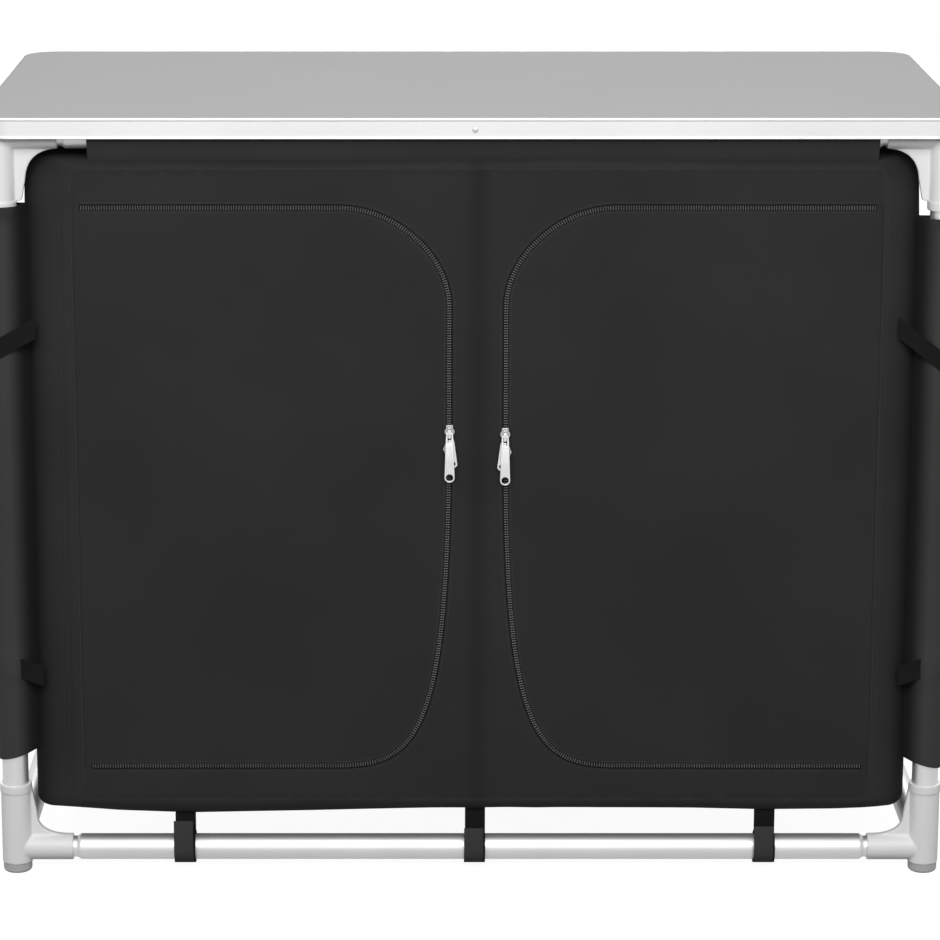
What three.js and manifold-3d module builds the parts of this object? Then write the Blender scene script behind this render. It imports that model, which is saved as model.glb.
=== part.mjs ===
// Camping kitchen unit: a tabletop on an aluminium tube frame, with a two-door fabric cabinet hung inside the frame.
// Millimetres, +Z up. The origin is on the floor under the middle of the unit, and the doors face -Y.
import * as THREE from "three";
import { mergeVertices } from "three/addons/utils/BufferGeometryUtils.js";
import Module from "manifold-3d";

const wasm = await Module();
wasm.setup();

// Whole unit
const tabletopWidth = 1000;
const tabletopDepth = 500;
const unitHeight = 800;

// Clearances and drawing steps
const seatGap = 0.3;
const cutOverrun = 6;
const roundSteps = 20;
const smallRoundSteps = 12;
const cornerSteps = 4;
const cabinetEdgeSteps = 4;

// Tabletop: a thin board lying in an aluminium edge profile
const tabletopCornerRadius = 38;
const boardThickness = 4;
const edgeHeight = 21;
const edgeWall = 2.3;
const edgeBeadHeight = 2.6;
const edgeBeadProud = 1.2;
const edgeLedgeWidth = 5.5;
const edgeLedgeThickness = 1.7;

// Rivet that closes the edge profile's joint
const rivetHeadRadius = 3.3;
const rivetHeadRise = 1;
const rivetShankRadius = 1.6;
const rivetTailRadius = 2.5;
const rivetTailLength = 1.8;
const rivetDrop = 11.5;
const rivetShift = 3;

// Aluminium tubes, and the swaged necks that plug into the corner pieces
const tubeDiameter = 27;
const tubeWall = 1.5;
const neckDiameter = 22;
const neckShown = 7;
const neckTaper = 3.5;
const legInset = 25;
const topRailDrop = 20.2;
const bottomRailHeight = 25.5;

// Moulded corner pieces
const armLength = 59;
const armSkin = 0.3;
const socketWall = 2;
const topSocketLength = 76;
const bottomSocketLength = 71;
const socketLipHeight = 9;
const socketLipProud = 0.8;
const railSeat = 18;
const legSeat = 16;
const webThickness = 7;
const webRibProud = 6;
const webCurveRise = 22;
const webRibRun = 38;
const flatWebSetback = 9;

// Feet
const footHeight = 9.5;
const footRadius = 15;
const footEdgeRadius = 3;
const footSpigotRadius = 8;
const footSpigotLength = 7;

// Fabric and webbing
const hemFabric = 1.2;
const hemLeftBare = 30.5;
const hemRightBare = 8.5;
const sleeveTopBare = 7;
const sleeveBottomBare = 18.5;
const strapThickness = 1.8;
const strapWidth = 23;
const strapEndInset = 151.5;
const strapShift = 5;
const tieWidth = 22;
const tieTail = 40;
const tieReturn = 35;
const upperTieDrop = 185;
const upperTieSlopeShare = 0.65;
const lowerTieRise = 151;
const lowerTieSlopeShare = -0.3;

// Cabinet
const cabinetLegGap = 20.5;
const cabinetRailDrop = 22.8;
const cabinetRailLift = 45.5;
const cabinetInset = 10;
const cabinetFabric = 2;
const cabinetCornerRadius = 26;
const cabinetEdgeRadius = 18;
const dividerShift = 8;
const shelfRise = 339;
const shelfThickness = 9;
const shelfSetback = 3;

// Doors: each one is cut round by a zip on three sides, and hangs on its outer side
const doorShift = 6;
const doorSideMargin = 52;
const doorMiddleWidth = 56.6;
const doorTopMargin = 48.5;
const doorBottomMargin = 47.5;
const doorUpperCurveWidth = 112;
const doorUpperCurveHeight = 102;
const doorUpperCurveShare = 0.52;
const doorLowerCurveWidth = 121;
const doorLowerCurveRiseShare = 0.6;
const doorLowerCurveWidthShare = 0.7;
const doorLowerCurveHeightShare = 0.94;
const zipWidth = 5.4;
const zipThickness = 2.6;
const zipProud = 0.8;
const zipEndInset = 3;

// Zip sliders and their pull tabs
const leftSliderDrop = 232;
const rightSliderDrop = 235;
const sliderWidth = 10.5;
const sliderHeight = 17;
const sliderThickness = 3.2;
const sliderShoulder = 4;
const bridgeWidth = 2.6;
const bridgeLength = 11;
const bridgeRise = 4.2;
const bridgeBar = 1.3;
const pullThickness = 1.4;
const pullLength = 51;
const pullTopWidth = 6.8;
const pullEndRadius = 5.2;
const pullHoleRadius = 3.6;
const pullEyeWidth = 3.6;
const pullEyeLength = 5.6;
const pullTopBar = 1.6;

// Places worked out from the sizes
const tubeRadius = tubeDiameter / 2;
const neckRadius = neckDiameter / 2;
const armRadius = tubeRadius + armSkin;
const socketRadius = tubeRadius + seatGap + socketWall;
const legX = tabletopWidth / 2 - legInset;
const legY = tabletopDepth / 2 - legInset;
const topRailZ = unitHeight - topRailDrop;
const bottomRailZ = bottomRailHeight;
const boardUnderside = unitHeight - boardThickness;
const ledgeTop = boardUnderside - seatGap;
const ledgeUnderside = ledgeTop - edgeLedgeThickness;
const edgeThickness = edgeWall + edgeBeadProud;
const cabinetFront = tabletopDepth / 2 - cabinetInset;
const cabinetSide = legX - cabinetLegGap;
const cabinetWidth = 2 * cabinetSide;
const cabinetTop = topRailZ - cabinetRailDrop;
const cabinetBottom = bottomRailZ + cabinetRailLift;
const cabinetMiddleZ = (cabinetTop + cabinetBottom) / 2;
const cabinetHeight = cabinetTop - cabinetBottom;
const sleeveRadius = tubeRadius + seatGap + hemFabric;
const sleeveTop = topRailZ - topSocketLength - sleeveTopBare;
const sleeveBottom = bottomRailZ + bottomSocketLength + sleeveBottomBare;
const shelfTop = cabinetBottom + shelfRise;
const dividerX = dividerShift;
const doorTop = cabinetTop - doorTopMargin;
const doorBottom = cabinetBottom + doorBottomMargin;
const doorLowerCurveHeight = doorLowerCurveRiseShare * (doorTop - doorBottom);
const pullPivotY = -cabinetFront - zipProud - seatGap - sliderThickness - (bridgeRise - bridgeBar) / 2;

// Finishes
const finish = (color, roughness, metalness) => ({ color, roughness, metalness });
const laminate = finish(0xb2b2b2, 0.45, 0);
const aluminium = finish(0xe4e4e4, 0.35, 0.9);
const greyPlastic = finish(0xd6d6d6, 0.5, 0);
const footRubber = finish(0xbcbcbc, 0.7, 0);
const charcoalFabric = finish(0x2f2f2f, 0.9, 0);
const blackWebbing = finish(0x1c1c1c, 0.85, 0);
const zipCoil = finish(0x262626, 0.6, 0);
const zipMetal = finish(0xe0e0e0, 0.3, 0.9);
const shelfBoard = finish(0x3a3a3a, 0.8, 0);

// A closed mesh as a solid that can be cut and joined
function solidOf(geometry) {
  const bare = geometry.clone();
  bare.deleteAttribute("normal");
  bare.deleteAttribute("uv");
  const merged = mergeVertices(bare);
  const vertProperties = new Float32Array(merged.attributes.position.array);
  const triVerts = new Uint32Array(merged.index.array);
  return new wasm.Manifold(new wasm.Mesh({ numProp: 3, vertProperties, triVerts }));
}

// A solid as a three.js geometry
function geometryOf(solid) {
  const mesh = solid.getMesh();
  const geometry = new THREE.BufferGeometry();
  geometry.setAttribute("position", new THREE.BufferAttribute(mesh.vertProperties, 3));
  geometry.setIndex(new THREE.BufferAttribute(mesh.triVerts, 1));
  geometry.computeVertexNormals();
  return geometry;
}

function joined(first, ...others) {
  return others.reduce((whole, piece) => whole.add(piece), first);
}

function cut(first, ...others) {
  return others.reduce((whole, piece) => whole.subtract(piece), first);
}

// A rectangle with round corners, centred on the origin
function roundedRectangle(width, height, radius) {
  const x = width / 2;
  const y = height / 2;
  const shape = new THREE.Shape();
  shape.moveTo(-x + radius, -y);
  shape.lineTo(x - radius, -y);
  shape.absarc(x - radius, -y + radius, radius, -Math.PI / 2, 0, false);
  shape.lineTo(x, y - radius);
  shape.absarc(x - radius, y - radius, radius, 0, Math.PI / 2, false);
  shape.lineTo(-x + radius, y);
  shape.absarc(-x + radius, y - radius, radius, Math.PI / 2, Math.PI, false);
  shape.lineTo(-x, -y + radius);
  shape.absarc(-x + radius, -y + radius, radius, Math.PI, Math.PI * 1.5, false);
  return shape;
}

function prism(shape, depth, steps = cornerSteps) {
  return new THREE.ExtrudeGeometry(shape, { depth, bevelEnabled: false, curveSegments: steps });
}

// A shape drawn in X and Z, thickened backwards from the plane at frontY
function upright(shape, frontY, thickness, steps = cornerSteps) {
  return prism(shape, thickness, steps).rotateX(Math.PI / 2).translate(0, frontY + thickness, 0);
}

// A shape drawn in Y and Z, run along X from startX
function alongX(shape, startX, length, steps = roundSteps / 2) {
  const geometry = prism(shape, length, steps);
  geometry.applyMatrix4(new THREE.Matrix4().set(0, 0, 1, startX, 1, 0, 0, 0, 0, 1, 0, 0, 0, 0, 0, 1));
  return geometry;
}

function block(lowX, highX, lowY, highY, lowZ, highZ) {
  const geometry = new THREE.BoxGeometry(highX - lowX, highY - lowY, highZ - lowZ);
  return geometry.translate((lowX + highX) / 2, (lowY + highY) / 2, (lowZ + highZ) / 2);
}

// A round bar along Z, from low to high
function bar(radius, low, high, steps = roundSteps) {
  const geometry = new THREE.CylinderGeometry(radius, radius, high - low, steps);
  return geometry.rotateX(Math.PI / 2).translate(0, 0, (low + high) / 2);
}

// A turned piece: its profile gives radius and height, and its axis is Z
function turned(profile, steps = roundSteps) {
  const points = profile.map(([radius, height]) => new THREE.Vector2(radius, height));
  return new THREE.LatheGeometry(points, steps).rotateX(Math.PI / 2);
}

const unit = new THREE.Group();

function addPiece(name, geometry, look) {
  const mesh = new THREE.Mesh(geometry, new THREE.MeshStandardMaterial(look));
  mesh.name = name;
  unit.add(mesh);
  return mesh;
}

const sides = [["left", -1], ["right", 1]];
const ends = [["front", -1], ["rear", 1]];

// Tabletop board
function addTabletopBoard() {
  const inset = edgeThickness + seatGap;
  const shape = roundedRectangle(tabletopWidth - 2 * inset, tabletopDepth - 2 * inset, tabletopCornerRadius - inset);
  addPiece("tabletop_board", prism(shape, boardThickness).translate(0, 0, boardUnderside), laminate);
}

// A closed ring of the edge profile, between two insets from the tabletop's outline
function edgeRing(outerInset, innerInset, low, high) {
  const ringShape = (inset) =>
    roundedRectangle(tabletopWidth - 2 * inset, tabletopDepth - 2 * inset, tabletopCornerRadius - inset);
  const shape = ringShape(outerInset);
  shape.holes.push(ringShape(innerInset));
  return solidOf(prism(shape, high - low).translate(0, 0, low));
}

const rivetX = rivetShift;
const rivetZ = unitHeight - rivetDrop;
const edgeBandY = -tabletopDepth / 2 + edgeBeadProud;

// Aluminium edge profile: a wall with a bead along its top and bottom, and a ledge that the board lies on
function addEdgeProfile() {
  const bottom = unitHeight - edgeHeight;
  const hole = solidOf(bar(rivetShankRadius + seatGap, -cutOverrun, cutOverrun, smallRoundSteps))
    .rotate([90, 0, 0])
    .translate([rivetX, edgeBandY, rivetZ]);
  const profile = joined(
    edgeRing(edgeBeadProud, edgeThickness, bottom, unitHeight),
    edgeRing(0, edgeThickness, unitHeight - edgeBeadHeight, unitHeight),
    edgeRing(0, edgeThickness, bottom, bottom + edgeBeadHeight),
    edgeRing(edgeThickness - edgeWall / 2, edgeThickness + edgeLedgeWidth, ledgeUnderside, ledgeTop),
  );
  addPiece("tabletop_edge_profile", geometryOf(cut(profile, hole)), aluminium);
}

// Blind rivet in the front of the edge profile: domed head, shank and the tail set behind the wall
function addEdgeRivet() {
  const headBack = seatGap / 2;
  const wallBack = -edgeWall - seatGap / 2;
  const profile = [
    [0, wallBack - rivetTailLength],
    [rivetTailRadius, wallBack - rivetTailLength],
    [rivetTailRadius, wallBack],
    [rivetShankRadius, wallBack],
    [rivetShankRadius, headBack],
    [rivetHeadRadius, headBack],
    [rivetHeadRadius * Math.cos(Math.PI / 4), headBack + rivetHeadRise * Math.sin(Math.PI / 4)],
    [0, headBack + rivetHeadRise],
  ];
  const geometry = turned(profile, smallRoundSteps);
  geometry.rotateX(Math.PI / 2).translate(rivetX, edgeBandY, rivetZ);
  addPiece("edge_joint_rivet", geometry, aluminium);
}

// A corner piece in its own frame: arms along +X and +Y, leg socket along +Z, all axes through the origin.
// capRise is how far its round body runs past the arms, away from the socket.
function cornerSolid(socketLength, capRise) {
  const body = joined(
    solidOf(bar(socketRadius, -capRise, socketLength)),
    solidOf(bar(socketRadius + socketLipProud, socketLength - socketLipHeight, socketLength)),
    solidOf(bar(armRadius, 0, armLength).rotateY(Math.PI / 2)),
    solidOf(bar(armRadius, 0, armLength).rotateX(-Math.PI / 2)),
  );
  const ribX = socketRadius + webRibProud;
  const curveEnd = armRadius + webCurveRise;
  const socketWeb = new THREE.Shape();
  socketWeb.moveTo(0, 0);
  socketWeb.lineTo(armLength, 0);
  socketWeb.lineTo(armLength, armRadius - armSkin);
  socketWeb.quadraticCurveTo(ribX, armRadius - armSkin, ribX, curveEnd);
  socketWeb.lineTo(socketRadius, curveEnd + webRibRun);
  socketWeb.lineTo(0, curveEnd + webRibRun);
  const trimmed = block(-cutOverrun, armLength + cutOverrun, -webThickness, webThickness, 0, socketLength);
  const webX = solidOf(upright(socketWeb, -webThickness / 2, webThickness)).intersect(solidOf(trimmed));
  const webY = webX.rotate([0, 0, 90]);
  const flatWebEnd = armLength - flatWebSetback;
  const flatWeb = new THREE.Shape();
  flatWeb.moveTo(0, 0);
  flatWeb.lineTo(flatWebEnd, 0);
  flatWeb.lineTo(flatWebEnd, armRadius - armSkin);
  flatWeb.quadraticCurveTo(armRadius, armRadius, armRadius - armSkin, flatWebEnd);
  flatWeb.lineTo(0, flatWebEnd);
  const webFlat = solidOf(prism(flatWeb, webThickness).translate(0, 0, -webThickness / 2));
  const legBore = solidOf(bar(tubeRadius + seatGap, legSeat - seatGap, socketLength + cutOverrun));
  const railBoreGeometry = () => bar(neckRadius + seatGap, railSeat - seatGap, armLength + cutOverrun);
  const railBoreX = solidOf(railBoreGeometry().rotateY(Math.PI / 2));
  const railBoreY = solidOf(railBoreGeometry().rotateX(-Math.PI / 2));
  return cut(joined(body, webX, webY, webFlat), legBore, railBoreX, railBoreY);
}

// The eight corner pieces, each turned to its corner by mirroring
function addCorners() {
  const topCorner = geometryOf(cornerSolid(topSocketLength, ledgeUnderside - seatGap - topRailZ));
  const footBore = solidOf(
    bar(footSpigotRadius + seatGap, -bottomRailZ, footHeight + footSpigotLength + 2 * seatGap - bottomRailZ),
  );
  const bottomSolid = cornerSolid(bottomSocketLength, bottomRailZ - footHeight - seatGap);
  const bottomCorner = geometryOf(cut(bottomSolid, footBore));
  for (const [end, endSign] of ends) {
    for (const [side, sideSign] of sides) {
      const top = addPiece(`top_corner_${end}_${side}`, topCorner, greyPlastic);
      top.scale.set(-sideSign, -endSign, -1);
      top.position.set(sideSign * legX, endSign * legY, topRailZ);
      const bottom = addPiece(`bottom_corner_${end}_${side}`, bottomCorner, greyPlastic);
      bottom.scale.set(-sideSign, -endSign, 1);
      bottom.position.set(sideSign * legX, endSign * legY, bottomRailZ);
    }
  }
}

// Feet: a tread with a rounded edge, on a spigot pressed into the corner piece
function addFeet() {
  const slope = footEdgeRadius * (1 - Math.cos(Math.PI / 4));
  const profile = [
    [0, 0],
    [footRadius - footEdgeRadius, 0],
    [footRadius - slope, slope],
    [footRadius, footEdgeRadius],
    [footRadius, footHeight],
    [footSpigotRadius, footHeight],
    [footSpigotRadius, footHeight + footSpigotLength],
    [0, footHeight + footSpigotLength],
  ];
  for (const [end, endSign] of ends) {
    for (const [side, sideSign] of sides) {
      const foot = addPiece(`foot_${end}_${side}`, turned(profile), footRubber);
      foot.position.set(sideSign * legX, endSign * legY, 0);
    }
  }
}

// Legs: plain tubes, seated in the corner pieces at both ends
function addLegs() {
  const low = bottomRailZ + legSeat;
  const high = topRailZ - legSeat;
  const inner = tubeRadius - tubeWall;
  const profile = [[inner, low], [tubeRadius, low], [tubeRadius, high], [inner, high], [inner, low]];
  for (const [end, endSign] of ends) {
    for (const [side, sideSign] of sides) {
      const leg = addPiece(`leg_${end}_${side}`, turned(profile), aluminium);
      leg.position.set(sideSign * legX, endSign * legY, 0);
    }
  }
}

// A rail in its own frame: a tube along Z with a swaged neck at each end
function railGeometry(axisSpan) {
  const end = axisSpan / 2 - railSeat;
  const neckFoot = axisSpan / 2 - armLength - neckShown;
  const bodyEnd = neckFoot - neckTaper + neckShown / 2;
  const neckStart = bodyEnd + neckTaper;
  const outer = [
    [neckRadius, -end],
    [neckRadius, -neckStart],
    [tubeRadius, -bodyEnd],
    [tubeRadius, bodyEnd],
    [neckRadius, neckStart],
    [neckRadius, end],
  ];
  const inner = outer.map(([radius, height]) => [radius - tubeWall, height]).reverse();
  return turned([...outer, ...inner, outer[0]]);
}

// The eight rails: front, rear, left and right, under the tabletop and near the floor
function addRails() {
  const longRail = railGeometry(2 * legX).rotateY(Math.PI / 2);
  const shortRail = railGeometry(2 * legY).rotateX(Math.PI / 2);
  for (const [level, height] of [["top", topRailZ], ["bottom", bottomRailZ]]) {
    for (const [end, endSign] of ends) {
      addPiece(`${level}_rail_${end}`, longRail, aluminium).position.set(0, endSign * legY, height);
    }
    for (const [side, sideSign] of sides) {
      addPiece(`${level}_rail_${side}`, shortRail, aluminium).position.set(sideSign * legX, 0, height);
    }
  }
}

// A loop of fabric round a bar, drawn with the bar's axis at the origin and a flat stem running down to stemEnd
function loopWithStem(thickness, stemThickness, stemEnd) {
  const inner = tubeRadius + seatGap;
  const outer = inner + thickness;
  const half = stemThickness / 2;
  const angle = Math.asin(half / outer);
  const shape = new THREE.Shape();
  shape.moveTo(half, stemEnd);
  shape.absarc(0, 0, outer, -Math.PI / 2 + angle, Math.PI * 1.5 - angle, false);
  shape.lineTo(-half, stemEnd);
  const hole = new THREE.Path();
  hole.absarc(0, 0, inner, 0, Math.PI * 2, true);
  shape.holes.push(hole);
  return shape;
}

// Hems: fabric loops on the front and rear top rails, whose stems carry the cabinet's top
function addHems() {
  const stemEnd = cabinetTop + seatGap - topRailZ;
  const railEnd = legX - armLength;
  const hemStart = hemLeftBare - railEnd;
  const hemLength = 2 * railEnd - hemLeftBare - hemRightBare;
  for (const [end, endSign] of ends) {
    const shape = loopWithStem(hemFabric, 2 * hemFabric, stemEnd);
    const hem = alongX(shape, hemStart, hemLength).translate(0, endSign * legY, topRailZ);
    addPiece(`hem_sleeve_${end}`, hem, charcoalFabric);
  }
}

// Bottom straps: webbing loops round the front and rear bottom rails, sewn under the cabinet's floor
function addBottomStraps() {
  const stemLength = cabinetBottom - seatGap - bottomRailZ;
  const pitch = cabinetSide - strapEndInset;
  const places = [["left", -1], ["centre", 0], ["right", 1]];
  for (const [end, endSign] of ends) {
    for (const [place, step] of places) {
      const shape = loopWithStem(strapThickness, 2 * strapThickness, -stemLength);
      const middle = strapShift + step * pitch;
      const strap = alongX(shape, -strapWidth / 2, strapWidth).rotateX(Math.PI);
      strap.translate(middle, endSign * legY, bottomRailZ);
      addPiece(`bottom_strap_${end}_${place}`, strap, blackWebbing);
    }
  }
}

// Leg sleeves: fabric tubes round the legs, each with a flange that is sewn to the cabinet's side
function addLegSleeves() {
  const flangeEnd = -(legX - cabinetSide - seatGap);
  for (const [end, endSign] of ends) {
    for (const [side, sideSign] of sides) {
      const shape = loopWithStem(hemFabric, 2 * hemFabric, flangeEnd);
      const sleeve = prism(shape, sleeveTop - sleeveBottom, roundSteps / 2);
      sleeve.rotateZ(-sideSign * Math.PI / 2);
      sleeve.translate(sideSign * legX, endSign * legY, sleeveBottom);
      addPiece(`leg_sleeve_${end}_${side}`, sleeve, charcoalFabric);
    }
  }
}

// A band of constant thickness along a flat path of points
function bandShape(points, thickness) {
  const normals = points.map((point, index) => {
    const before = points[Math.max(index - 1, 0)];
    const after = points[Math.min(index + 1, points.length - 1)];
    const along = after.clone().sub(before).normalize();
    return new THREE.Vector2(-along.y, along.x);
  });
  const offset = (distance) => points.map((point, index) => point.clone().addScaledVector(normals[index], distance));
  return new THREE.Shape([...offset(-thickness / 2), ...offset(thickness / 2).reverse()]);
}

// Tie straps: webbing that runs along the cabinet's side and out round the leg sleeve at each end.
// The band is sheared, so that it drops or climbs as it leaves the cabinet.
function tieGeometry(sideSign, height, slopeShare) {
  const loopRadius = sleeveRadius + seatGap + strapThickness / 2;
  const frontY = -legY - loopRadius;
  const sideX = cabinetSide + seatGap + strapThickness / 2;
  const points = [new THREE.Vector2(legX - tieTail, frontY)];
  for (let step = 0; step <= smallRoundSteps; step += 1) {
    const angle = -Math.PI / 2 + (step / smallRoundSteps) * Math.PI;
    points.push(new THREE.Vector2(legX + loopRadius * Math.cos(angle), -legY + loopRadius * Math.sin(angle)));
  }
  points.push(new THREE.Vector2(sideX, -legY + tieReturn));
  const mirrored = points.map((point) => new THREE.Vector2(point.x, -point.y)).reverse();
  const band = prism(bandShape([...points, ...mirrored], strapThickness), tieWidth);
  band.translate(0, 0, height - tieWidth / 2);
  const shear = new THREE.Matrix4().set(1, 0, 0, 0, 0, 1, 0, 0, -slopeShare, 0, 1, slopeShare * sideX, 0, 0, 0, 1);
  band.applyMatrix4(shear);
  return sideSign > 0 ? band : band.rotateZ(Math.PI);
}

function addTieStraps() {
  for (const [side, sideSign] of sides) {
    const upper = tieGeometry(sideSign, cabinetTop - upperTieDrop, upperTieSlopeShare);
    addPiece(`tie_strap_upper_${side}`, upper, blackWebbing);
    const lower = tieGeometry(sideSign, cabinetBottom + lowerTieRise, lowerTieSlopeShare);
    addPiece(`tie_strap_lower_${side}`, lower, blackWebbing);
  }
}

// The cabinet's skin as a box with round edges, shrunk all round by inset
function cabinetBlock(inset) {
  const edge = cabinetEdgeRadius - inset;
  const shape = roundedRectangle(
    cabinetWidth - 2 * cabinetEdgeRadius,
    cabinetHeight - 2 * cabinetEdgeRadius,
    cabinetCornerRadius - cabinetEdgeRadius,
  );
  const geometry = new THREE.ExtrudeGeometry(shape, {
    depth: 2 * (cabinetFront - cabinetEdgeRadius),
    bevelThickness: edge,
    bevelSize: edge,
    bevelSegments: cabinetEdgeSteps,
    curveSegments: cornerSteps,
  });
  return solidOf(geometry.rotateX(Math.PI / 2).translate(0, cabinetFront - cabinetEdgeRadius, cabinetMiddleZ));
}

// The flat part of the cabinet's front or back, with its edges set in or out by gap
function cabinetFace(gap) {
  return roundedRectangle(
    cabinetWidth - 2 * cabinetEdgeRadius + 2 * gap,
    cabinetHeight - 2 * cabinetEdgeRadius + 2 * gap,
    cabinetCornerRadius - cabinetEdgeRadius + gap,
  );
}

// Cabinet walls: the skin between the front and the back, cut apart on the diagonals of its corners
function addCabinetWalls() {
  const opening = cabinetFace(seatGap / 2);
  const through = upright(opening, -cabinetFront - cutOverrun, 2 * (cabinetFront + cutOverrun));
  const skin = cut(cabinetBlock(0), cabinetBlock(cabinetFabric));
  const walls = cut(skin, solidOf(through.translate(0, 0, cabinetMiddleZ)));
  const cornerX = cabinetSide - cabinetCornerRadius;
  const cornerZ = cabinetHeight / 2 - cabinetCornerRadius;
  const reach = cabinetCornerRadius + cutOverrun;
  const wedge = (outline) => {
    const shape = new THREE.Shape(outline.map(([x, z]) => new THREE.Vector2(x, z)));
    const geometry = upright(shape, -cabinetFront - cutOverrun, 2 * (cabinetFront + cutOverrun));
    return solidOf(geometry.translate(0, 0, cabinetMiddleZ));
  };
  for (const [name, sign] of [["cabinet_floor", -1], ["cabinet_top", 1]]) {
    const inner = sign * (cornerZ + seatGap);
    const outer = sign * (cornerZ + seatGap + reach);
    const outline = [[-cornerX, inner], [cornerX, inner], [cornerX + reach, outer], [-cornerX - reach, outer]];
    const wall = walls.intersect(wedge(sign > 0 ? outline : outline.reverse()));
    addPiece(name, geometryOf(wall), charcoalFabric);
  }
  for (const [side, sign] of sides) {
    const inner = sign * (cornerX + seatGap);
    const outer = sign * (cornerX + seatGap + reach);
    const outline = [[inner, -cornerZ], [outer, -cornerZ - reach], [outer, cornerZ + reach], [inner, cornerZ]];
    const wall = walls.intersect(wedge(sign > 0 ? outline : outline.reverse()));
    addPiece(`cabinet_side_${side}`, geometryOf(wall), charcoalFabric);
  }
}

// The zip's line on one door: out along the top, down the free side and back along the bottom
const hingeReach = cabinetSide - doorSideMargin;
const freeReach = doorMiddleWidth / 2;

function doorLine(sideSign) {
  const x = (reach) => doorShift + sideSign * reach;
  const path = new THREE.Path();
  const upperStart = freeReach + doorUpperCurveWidth;
  const upperEnd = doorTop - doorUpperCurveHeight;
  const upperEase = 1 - doorUpperCurveShare;
  path.moveTo(x(hingeReach), doorTop);
  path.lineTo(x(upperStart), doorTop);
  path.bezierCurveTo(
    x(freeReach + doorUpperCurveWidth * upperEase), doorTop,
    x(freeReach), doorTop - doorUpperCurveHeight * upperEase,
    x(freeReach), upperEnd,
  );
  path.lineTo(x(freeReach), doorBottom + doorLowerCurveHeight);
  path.bezierCurveTo(
    x(freeReach), doorBottom + doorLowerCurveHeight * (1 - doorLowerCurveHeightShare),
    x(freeReach + doorLowerCurveWidth * (1 - doorLowerCurveWidthShare)), doorBottom,
    x(freeReach + doorLowerCurveWidth), doorBottom,
  );
  path.lineTo(x(hingeReach), doorBottom);
  return path.getPoints(smallRoundSteps);
}

// The zip's line moved outwards by a distance, and stopped short of the hinge line by endInset
function movedDoorLine(sideSign, distance, endInset) {
  const line = doorLine(sideSign);
  const moved = line.map((point, index) => {
    const before = line[Math.max(index - 1, 0)];
    const after = line[Math.min(index + 1, line.length - 1)];
    const along = after.clone().sub(before).normalize();
    return new THREE.Vector2(point.x + along.y * sideSign * distance, point.y - along.x * sideSign * distance);
  });
  const endX = doorShift + sideSign * (hingeReach - endInset);
  moved[0].x = endX;
  moved[moved.length - 1].x = endX;
  return moved;
}

const zipHalf = zipWidth / 2;
const zipSlotHalf = zipHalf + seatGap;

// Front panel with its two door openings, and the plain back panel
function addCabinetFaces() {
  const face = cabinetFace(-seatGap / 2);
  const plate = (frontY) => solidOf(upright(face, frontY, cabinetFabric).translate(0, 0, cabinetMiddleZ));
  const openings = sides.map(([, sideSign]) => {
    const outline = new THREE.Shape(movedDoorLine(sideSign, zipSlotHalf, -seatGap / 2));
    return solidOf(upright(outline, -cabinetFront - cutOverrun, cabinetFabric + 2 * cutOverrun));
  });
  addPiece("cabinet_front", geometryOf(cut(plate(-cabinetFront), ...openings)), charcoalFabric);
  addPiece("cabinet_back", geometryOf(plate(cabinetFront - cabinetFabric)), charcoalFabric);
}

// Doors and the zip chains round them
function addDoors() {
  for (const [side, sideSign] of sides) {
    const panel = new THREE.Shape(movedDoorLine(sideSign, -zipSlotHalf, seatGap / 2));
    addPiece(`door_${side}`, upright(panel, -cabinetFront, cabinetFabric), charcoalFabric);
    const outer = movedDoorLine(sideSign, zipHalf, zipEndInset);
    const inner = movedDoorLine(sideSign, -zipHalf, zipEndInset);
    const chain = new THREE.Shape([...outer, ...inner.reverse()]);
    addPiece(`zip_chain_${side}`, upright(chain, -cabinetFront - zipProud, zipThickness), zipCoil);
  }
}

// Divider between the two compartments, and a shelf board in each
function addInside() {
  const innerFront = cabinetFront - cabinetFabric;
  const half = cabinetFabric / 2;
  const margin = 2 * (cabinetFabric + seatGap);
  const outline = roundedRectangle(2 * cabinetFront - margin, cabinetHeight - margin, cabinetEdgeRadius);
  const divider = alongX(outline, dividerX - half, cabinetFabric, cornerSteps).translate(0, 0, cabinetMiddleZ);
  addPiece("cabinet_divider", divider, charcoalFabric);
  for (const [side, sideSign] of sides) {
    const wallX = sideSign * (cabinetSide - cabinetFabric - seatGap);
    const dividerFace = dividerX + sideSign * (half + seatGap);
    const width = Math.abs(wallX - dividerFace);
    const shape = roundedRectangle(width, 2 * (innerFront - shelfSetback), cabinetEdgeRadius);
    const shelf = prism(shape, shelfThickness).translate((wallX + dividerFace) / 2, 0, shelfTop - shelfThickness);
    addPiece(`shelf_${side}`, shelf, shelfBoard);
  }
}

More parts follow.
